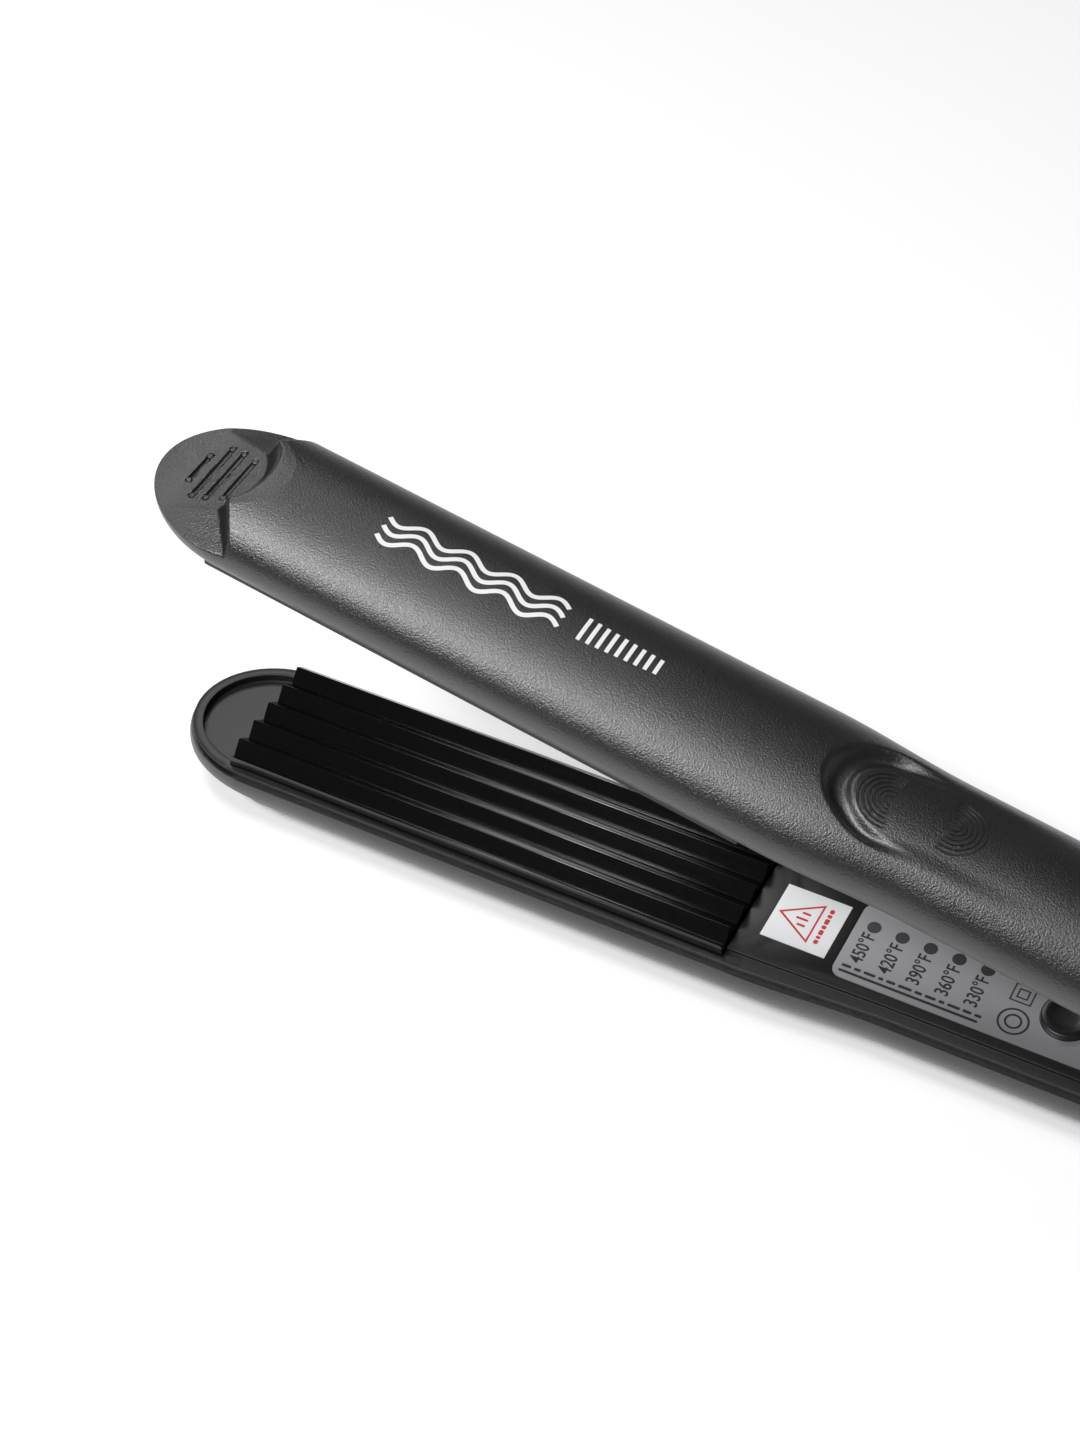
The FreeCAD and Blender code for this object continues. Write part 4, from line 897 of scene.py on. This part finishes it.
panel_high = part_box("control_panel")[1]
window_low, window_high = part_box("led_windows")
PANEL_TOP = panel_high.z / MM
panel_film = Finish("panel_satin_grey", Metallic=0.55)
film_lines = panel_film.stretched((30.0, 3500.0, 3500.0), 2.0)
film_cloud = panel_film.noise(60.0, 2.0)
panel_film.link("Base Color", panel_film.mix(film_cloud, (0.30, 0.30, 0.315, 1),
                                             (0.37, 0.37, 0.39, 1)))
panel_film.link("Roughness", 0.34 + 0.14 * (film_lines - 0.5) + 0.06 * film_cloud)
panel_film.bump(film_lines, 0.000008)
dress(panel_film.material, "control_panel")
smoke = grained("window_smoke", (0.035, 0.034, 0.036, 1), (0.05, 0.048, 0.052, 1), 0.2, 1500.0,
                0.00001)
dress(smoke, "led_windows")


def print_ink(name, dark, light):
    """Screen-printed ink, a little uneven in tone."""
    return grained(name, dark, light, 0.5, 6000.0, 0.00001)


black_ink = print_ink("black_ink", (0.008, 0.008, 0.008, 1), (0.016, 0.016, 0.016, 1))
INK = 0.03


def slab(corners, low, high):
    """A flat upright block from its outline corners."""
    return prism([(x, y, low) for x, y in corners], [(x, y, high) for x, y in corners])


def bar_print(x0, x1, y0, y1, top):
    """A printed bar with rounded corners."""
    r = 0.3 * min(x1 - x0, y1 - y0)
    corners = []
    for cx, cy, first in ((x1 - r, y1 - r, 0), (x0 + r, y1 - r, 90), (x0 + r, y0 + r, 180),
                          (x1 - r, y0 + r, 270)):
        for step in (0, 30, 60, 90):
            angle = math.radians(first + step)
            corners.append((cx + r * math.cos(angle), cy + r * math.sin(angle)))
    return slab(corners, top - 0.01, top + INK)


def frame_print(outline, width, top):
    """A closed printed line that follows an outline."""
    outline = np.asarray(outline, float)
    centre = outline.mean(0)
    n = len(outline)
    reach = np.linalg.norm(outline - centre, axis=1)[:, None]
    inner = centre + (outline - centre) * (reach - width) / reach
    points = []
    for ring, z in ((outline, top - 0.01), (inner, top - 0.01), (inner, top + INK),
                    (outline, top + INK)):
        points += [(x, y, z) for x, y in ring]
    faces = []
    for j in range(4):
        for i in range(n):
            a, b = j * n + i, j * n + (i + 1) % n
            c = (j + 1) % 4 * n
            faces.append((a, b, c + (i + 1) % n, c + i))
    return make_mesh("print", points, faces)


def number_print(text, x, y, size, squeeze, top):
    """Printed figures that read across the arm, centred on a place."""
    letters = bpy.data.curves.new("figures", "FONT")
    letters.body = text
    letters.size = size * MM
    letters.align_x = "CENTER"
    letters.align_y = "CENTER"
    letters.extrude = INK / 2 * MM
    letters.offset = 0.045 * MM
    letters.resolution_u = 3
    thing = placed("figures", letters)
    mesh = evaluated(thing)
    bpy.data.objects.remove(thing)
    mesh.transform(Matrix.Translation(Vector((x, y, top + INK / 2)) * MM)
                   @ Matrix.Rotation(math.pi / 2, 4, "Z")
                   @ Matrix.Diagonal((squeeze, 1, 1, 1)))
    work = bmesh.new()
    work.from_mesh(mesh)
    bmesh.ops.remove_doubles(work, verts=work.verts, dist=0.0005 * MM)
    bmesh.ops.recalc_face_normals(work, faces=work.faces)
    work.to_mesh(mesh)
    work.free()
    return mesh


def regular(x, y, reach, corners, first=0.0):
    """The outline of a circle or of a regular shape with a few corners."""
    turn = np.linspace(0, 2 * math.pi, corners, endpoint=False) + first
    return [(x + reach * math.cos(a), y + reach * math.sin(a)) for a in turn]


def dashes(first, lengths, gap, low, high, top, along_x):
    """A row of printed dashes of given lengths, along the arm or across it."""
    row = []
    for length in lengths:
        span = (first, first + length)
        sides = (*span, low, high) if along_x else (low, high, *span)
        row.append(bar_print(*sides, top))
        first += length + gap
    return row


window_first = window_low.x / MM + (window_high.y - window_low.y) / MM / 2
WINDOW_PITCH = ((window_high.x - window_low.x) - (window_high.y - window_low.y)) / MM / 4
panel_prints = []
for i, figures in enumerate(("450\u00b0F", "420\u00b0F", "390\u00b0F", "360\u00b0F",
                             "330\u00b0F")):
    panel_prints.append(number_print(figures, window_first + i * WINDOW_PITCH, -1.2, 3.4, 0.82,
                                     PANEL_TOP))
panel_prints += dashes(63.8, (1.7, 1.2, 2.1, 0.9, 1.6, 2.4, 1.3, 1.9, 1.0, 2.2, 1.5, 1.2), 0.55,
                       -6.0, -5.45, PANEL_TOP, True)
panel_prints.append(bar_print(63.7, 88.6, -7.15, -6.65, PANEL_TOP))
for ring in (2.7, 1.5):
    panel_prints.append(frame_print(regular(93.8, -4.2, ring, 40), 0.36, PANEL_TOP))
for half in (1.9, 1.0):
    corners = regular(93.4, 1.6, half * math.sqrt(2), 4, math.radians(-135))
    panel_prints.append(frame_print(corners, 0.36, PANEL_TOP))
piece("panel_printing", joined("panel_printing", panel_prints), "lower_arm", black_ink,
      smooth=30)

# ---------------------------------------------------------------- foil label
# A square of brushed silver foil stuck to the deck, with a plain red triangle and bars on it.

label_low, label_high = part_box("heat_label")
foil = Finish("label_foil", Metallic=0.5)
foil_lines = foil.stretched((4000.0, 60.0, 4000.0), 2.0)
foil_cloud = foil.noise(110.0, 2.0)
foil.link("Base Color", foil.mix(foil_cloud, (0.72, 0.73, 0.74, 1), (0.90, 0.90, 0.91, 1)))
foil.link("Roughness", 0.30 + 0.12 * foil_lines + 0.08 * foil_cloud)
foil.bump(foil_lines, 0.000008)
dress(foil.material, "heat_label")
red_ink = print_ink("red_ink", (0.52, 0.02, 0.03, 1), (0.64, 0.03, 0.04, 1))
LABEL_TOP = label_high.z / MM
label_x = (label_low.x + label_high.x) / MM / 2 - 1.0
triangle = [(label_x - 4.2, 0.0), (label_x + 2.9, -4.4), (label_x + 2.9, 4.4)]
label_prints = [frame_print(triangle, 0.7, LABEL_TOP)]
for y in (-1.3, 0.0, 1.3):
    label_prints.append(bar_print(label_x - 0.9 + 0.5 * abs(y), label_x + 1.3, y - 0.22, y + 0.22,
                                  LABEL_TOP))
label_prints += dashes(-3.9, (0.9, 0.6, 1.1, 0.8, 1.2, 0.7, 0.9), 0.28,
                       label_x + 3.9, label_x + 4.7, LABEL_TOP, False)
piece("label_printing", joined("label_printing", label_prints), "lower_arm", red_ink,
      smooth=30)

# ---------------------------------------------------------------- power button
# A round black push button with a softly domed and slightly dished top, a flange and a stem.

button_low, button_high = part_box("power_button")
button_x = (button_low.x + button_high.x) / MM / 2
button_top = button_high.z / MM
button_outline = rounded([
    (button_low.z / MM, 0.0), (button_low.z / MM, 1.5), (9.9, 1.5), (9.9, 5.45), (10.7, 5.45),
    (10.7, 4.35), (button_top - 0.15, 4.35), (button_top, 3.4), (button_top - 0.3, 2.2),
    (button_top - 0.4, 0.0)], 0.35)
button_gloss = grained("button_black", (0.008, 0.008, 0.009, 1), (0.013, 0.013, 0.014, 1), 0.3,
                       4000.0, 0.00002)
piece("push_button", turned("push_button", button_outline, (button_x, 0, 0), "Z"), "button",
      button_gloss, ["power_button"])

# ---------------------------------------------------------------- screws
# Pan head cross-recess screws, rolled from plated steel, one master shape set at every place.

HEAD_TOP = 1.05
HEAD_RADIUS = 2.2
plated = drawn_metal("plated_steel", (0.50, 0.50, 0.49, 1), (0.62, 0.62, 0.60, 1), 0.26)


def screw_mesh(length):
    """One screw about the Z axis with its head seat at the origin, and rolled rings as thread."""
    outline = [(-length, 0.0), (-length + 0.8, 0.95)]
    turn = -length + 0.8
    while turn < -0.9:
        outline += [(turn + 0.2, 1.3), (turn + 0.5, 1.0)]
        turn += 0.6
    outline += [(-0.2, 1.1), (0.0, 1.1), (0.0, HEAD_RADIUS), (HEAD_TOP * 0.5, HEAD_RADIUS),
                (HEAD_TOP * 0.85, 1.75), (HEAD_TOP, 0.9), (HEAD_TOP, 0.0)]
    body = turned("screw", outline, (0, 0, 0), "Z", 40)
    for wide, long in ((0.28, 1.25), (1.25, 0.28)):
        corners = [(-wide, -long), (wide, -long), (wide, long), (-wide, long)]
        body = carved(body, [slab(corners, HEAD_TOP - 0.75, HEAD_TOP + 0.5)])
    return body


def screw_set(name, node, body, places, length, upper=False):
    """All the screws of one set, from a Geometry Nodes tree that copies the master."""
    master = placed("master_screw", screw_mesh(length))
    start = bpy.data.meshes.new("places")
    start.from_pydata([tuple(Vector(p) * MM) for p in places], [], [])
    mesh = grown(name, start, copies_tree(name + "_tree"), {
        "Master": master, "Axis": (0.0, 0.0, 1.0), "Seed": 7, "Finish": plated})
    bpy.data.objects.remove(master)
    if upper:
        over(mesh)
    return piece(name, mesh, body, plated, [node], smooth=30)


cover_screw_low, cover_screw_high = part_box("lower_cover_screws")
board_screw_low, board_screw_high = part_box("board_screws")
cover_seat = cover_screw_high.z / MM - HEAD_TOP
board_seat = board_screw_high.z / MM - HEAD_TOP
front_x = cover_screw_low.x / MM + HEAD_RADIUS
rear_x = cover_screw_high.x / MM - HEAD_RADIUS
cover_places = [(front_x, 0.0, cover_seat), (rear_x, 6.0, cover_seat), (rear_x, -6.0, cover_seat)]
screw_set("lower_face_screws", "lower_cover_screws", "lower_arm", cover_places, 6.0)
screw_set("upper_face_screws", "upper_cover_screws", "upper_arm", cover_places, 6.0, True)
screw_set("board_fixings", "board_screws", "lower_arm", [
    (board_screw_low.x / MM + HEAD_RADIUS, -5.0, board_seat),
    (board_screw_high.x / MM - HEAD_RADIUS, 5.0, board_seat)], 4.0)

# ---------------------------------------------------------------- hinge
# A steel pin through both arms, with nylon washers between the knuckles and the cheeks.
# A pressed-in plastic cap hides each end, and a coiled spring round the pin opens the arms.

dress(plated, "hinge_pin")
nylon = grained("washer_nylon", (0.70, 0.69, 0.64, 1), (0.80, 0.79, 0.75, 1), 0.45, 2500.0,
                0.00003)
dress(nylon, "hinge_washers")
caps_low, caps_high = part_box("hinge_caps")
cap_plastic = grained("cap_black", (0.010, 0.010, 0.0105, 1), (0.015, 0.015, 0.016, 1), 0.3,
                      3800.0, 0.00003)
cap_radius = (caps_high.x - caps_low.x) / MM / 2
cap_face = caps_high.y / MM
caps = []
for side in (-1, 1):
    cap_outline = rounded([
        (side * (cap_face - 1.6), 0.0), (side * (cap_face - 1.6), cap_radius),
        (side * (cap_face - 0.02), cap_radius), (side * cap_face, cap_radius - 0.9),
        (side * (cap_face - 0.25), cap_radius - 1.1), (side * (cap_face - 0.25), 2.6),
        (side * (cap_face - 0.1), 2.2), (side * (cap_face - 0.05), 0.0)], 0.25)
    caps.append(turned("cap", cap_outline, (HINGE_X, 0, HINGE_Z), "Y"))
piece("hinge_end_caps", joined("hinge_end_caps", caps), "lower_arm", cap_plastic,
      ["hinge_caps"])

# ---------------------------------------------------------------- printed ornament
# Three plain waves and a row of bars, screen printed in white on the back of the upper arm.

white_ink = print_ink("white_ink", (0.70, 0.70, 0.70, 1), (0.80, 0.80, 0.80, 1))


def laid_strip(path, width):
    """A flat strip that follows the back of an arm, standing just proud of it."""
    ahead = np.gradient(path, axis=0)
    ahead /= np.linalg.norm(ahead, axis=1)[:, None]
    side = np.column_stack([-ahead[:, 1], ahead[:, 0]]) * width / 2
    points = []
    for lift in (-0.05, INK):
        for edge in (path - side, path + side):
            depth = back_surface(edge[:, 0], edge[:, 1])
            points.append(np.column_stack([edge, DECK - depth - lift]))
    n = len(path)
    points = np.concatenate(points)
    faces = []
    order = (0, n, 3 * n, 2 * n)
    for first, second in zip(order, order[1:] + order[:1]):
        for i in range(n - 1):
            faces.append((first + i, first + i + 1, second + i + 1, second + i))
    faces += [order, tuple(k + n - 1 for k in order)]
    return make_mesh("strip", points, faces)


ornament = []
start, stop = PLATE_START + 26.0, PLATE_START + 60.0
for shift in (-2.2, 0.0, 2.2):
    x = np.linspace(start, stop, 160)
    y = shift - 1.0 + 1.1 * np.sin((x - start) * 2 * math.pi / 8.5)
    ornament.append(laid_strip(np.column_stack([x, y]), 0.85))
for i in range(9):
    x = PLATE_START + 64.0 + 1.7 * i
    y = np.linspace(-3.6 + 0.12 * i, 1.6 - 0.12 * i, 12)
    ornament.append(laid_strip(np.column_stack([np.full_like(y, x), y]), 0.7))
piece("back_ornament", over(joined("back_ornament", ornament)), "upper_arm", white_ink,
      smooth=30)

# ---------------------------------------------------------------- camera, light and floor
# A plain white table with three large soft lights above it, as in a small product studio.

camera_data = bpy.data.cameras.new("camera")
camera_data.sensor_fit = "VERTICAL"
camera_data.sensor_height = 36.0
camera_data.sensor_width = 36.0
camera_data.lens = 60.4
camera = placed("camera", camera_data)
camera.location = (0.15904, -0.22988, 0.34714)
look = Vector((-0.3740, 0.5569, -0.7416)).to_track_quat("-Z", "Y")
roll = Matrix.Rotation(math.radians(-6.65), 3, "Z").to_quaternion()
camera.rotation_mode = "QUATERNION"
camera.rotation_quaternion = look @ roll
bpy.context.scene.camera = camera

floor_mesh = bpy.data.meshes.new("table")
table_corners = [(x, y, -0.0001) for x, y in ((-3, -3), (3, -3), (3, 3), (-3, 3))]
floor_mesh.from_pydata(table_corners, [], [(0, 1, 2, 3)])
floor = placed("table", floor_mesh)
table_finish = Finish("table_white", Roughness=0.6)
table_finish.link("Base Color", table_finish.mix(
    table_finish.noise(4.0), (0.86, 0.86, 0.87, 1), (0.88, 0.88, 0.89, 1)))
table_finish.shader.inputs["Emission Color"].default_value = (1, 1, 1, 1)
table_finish.shader.inputs["Emission Strength"].default_value = 0.12
floor_mesh.materials.append(table_finish.material)


def lamp(name, place, target, size, watts):
    """A rectangular soft light aimed at a place."""
    data = bpy.data.lights.new(name, "AREA")
    data.shape = "RECTANGLE"
    data.size, data.size_y = size
    data.energy = watts
    thing = placed(name, data)
    thing.location = place
    thing.rotation_mode = "QUATERNION"
    thing.rotation_quaternion = (Vector(target) - Vector(place)).to_track_quat("-Z", "Y")


lamp("soft_box", (-0.24, -0.48, 0.84), (0.0, 0.0, 0.03), (0.50, 0.18), 8.5)
lamp("top_box", (0.07, -0.12, 1.15), (0.05, 0.0, 0.0), (0.34, 0.34), 4.0)
lamp("far_box", (-0.55, 0.62, 0.95), (0.0, 0.0, 0.0), (0.50, 0.40), 3.2)
world = bpy.data.worlds.new("studio")
world.use_nodes = True
backdrop = world.node_tree.nodes["Background"]
backdrop.inputs["Color"].default_value = (1, 1, 1, 1)
path = world.node_tree.nodes.new("ShaderNodeLightPath")
seen = world.node_tree.nodes.new("ShaderNodeMapRange")
seen.inputs["To Min"].default_value = 0.07
seen.inputs["To Max"].default_value = 0.92
world.node_tree.links.new(path.outputs["Is Camera Ray"], seen.inputs["Value"])
world.node_tree.links.new(seen.outputs["Result"], backdrop.inputs["Strength"])
bpy.context.scene.world = world
bpy.context.scene.view_settings.view_transform = "Standard"
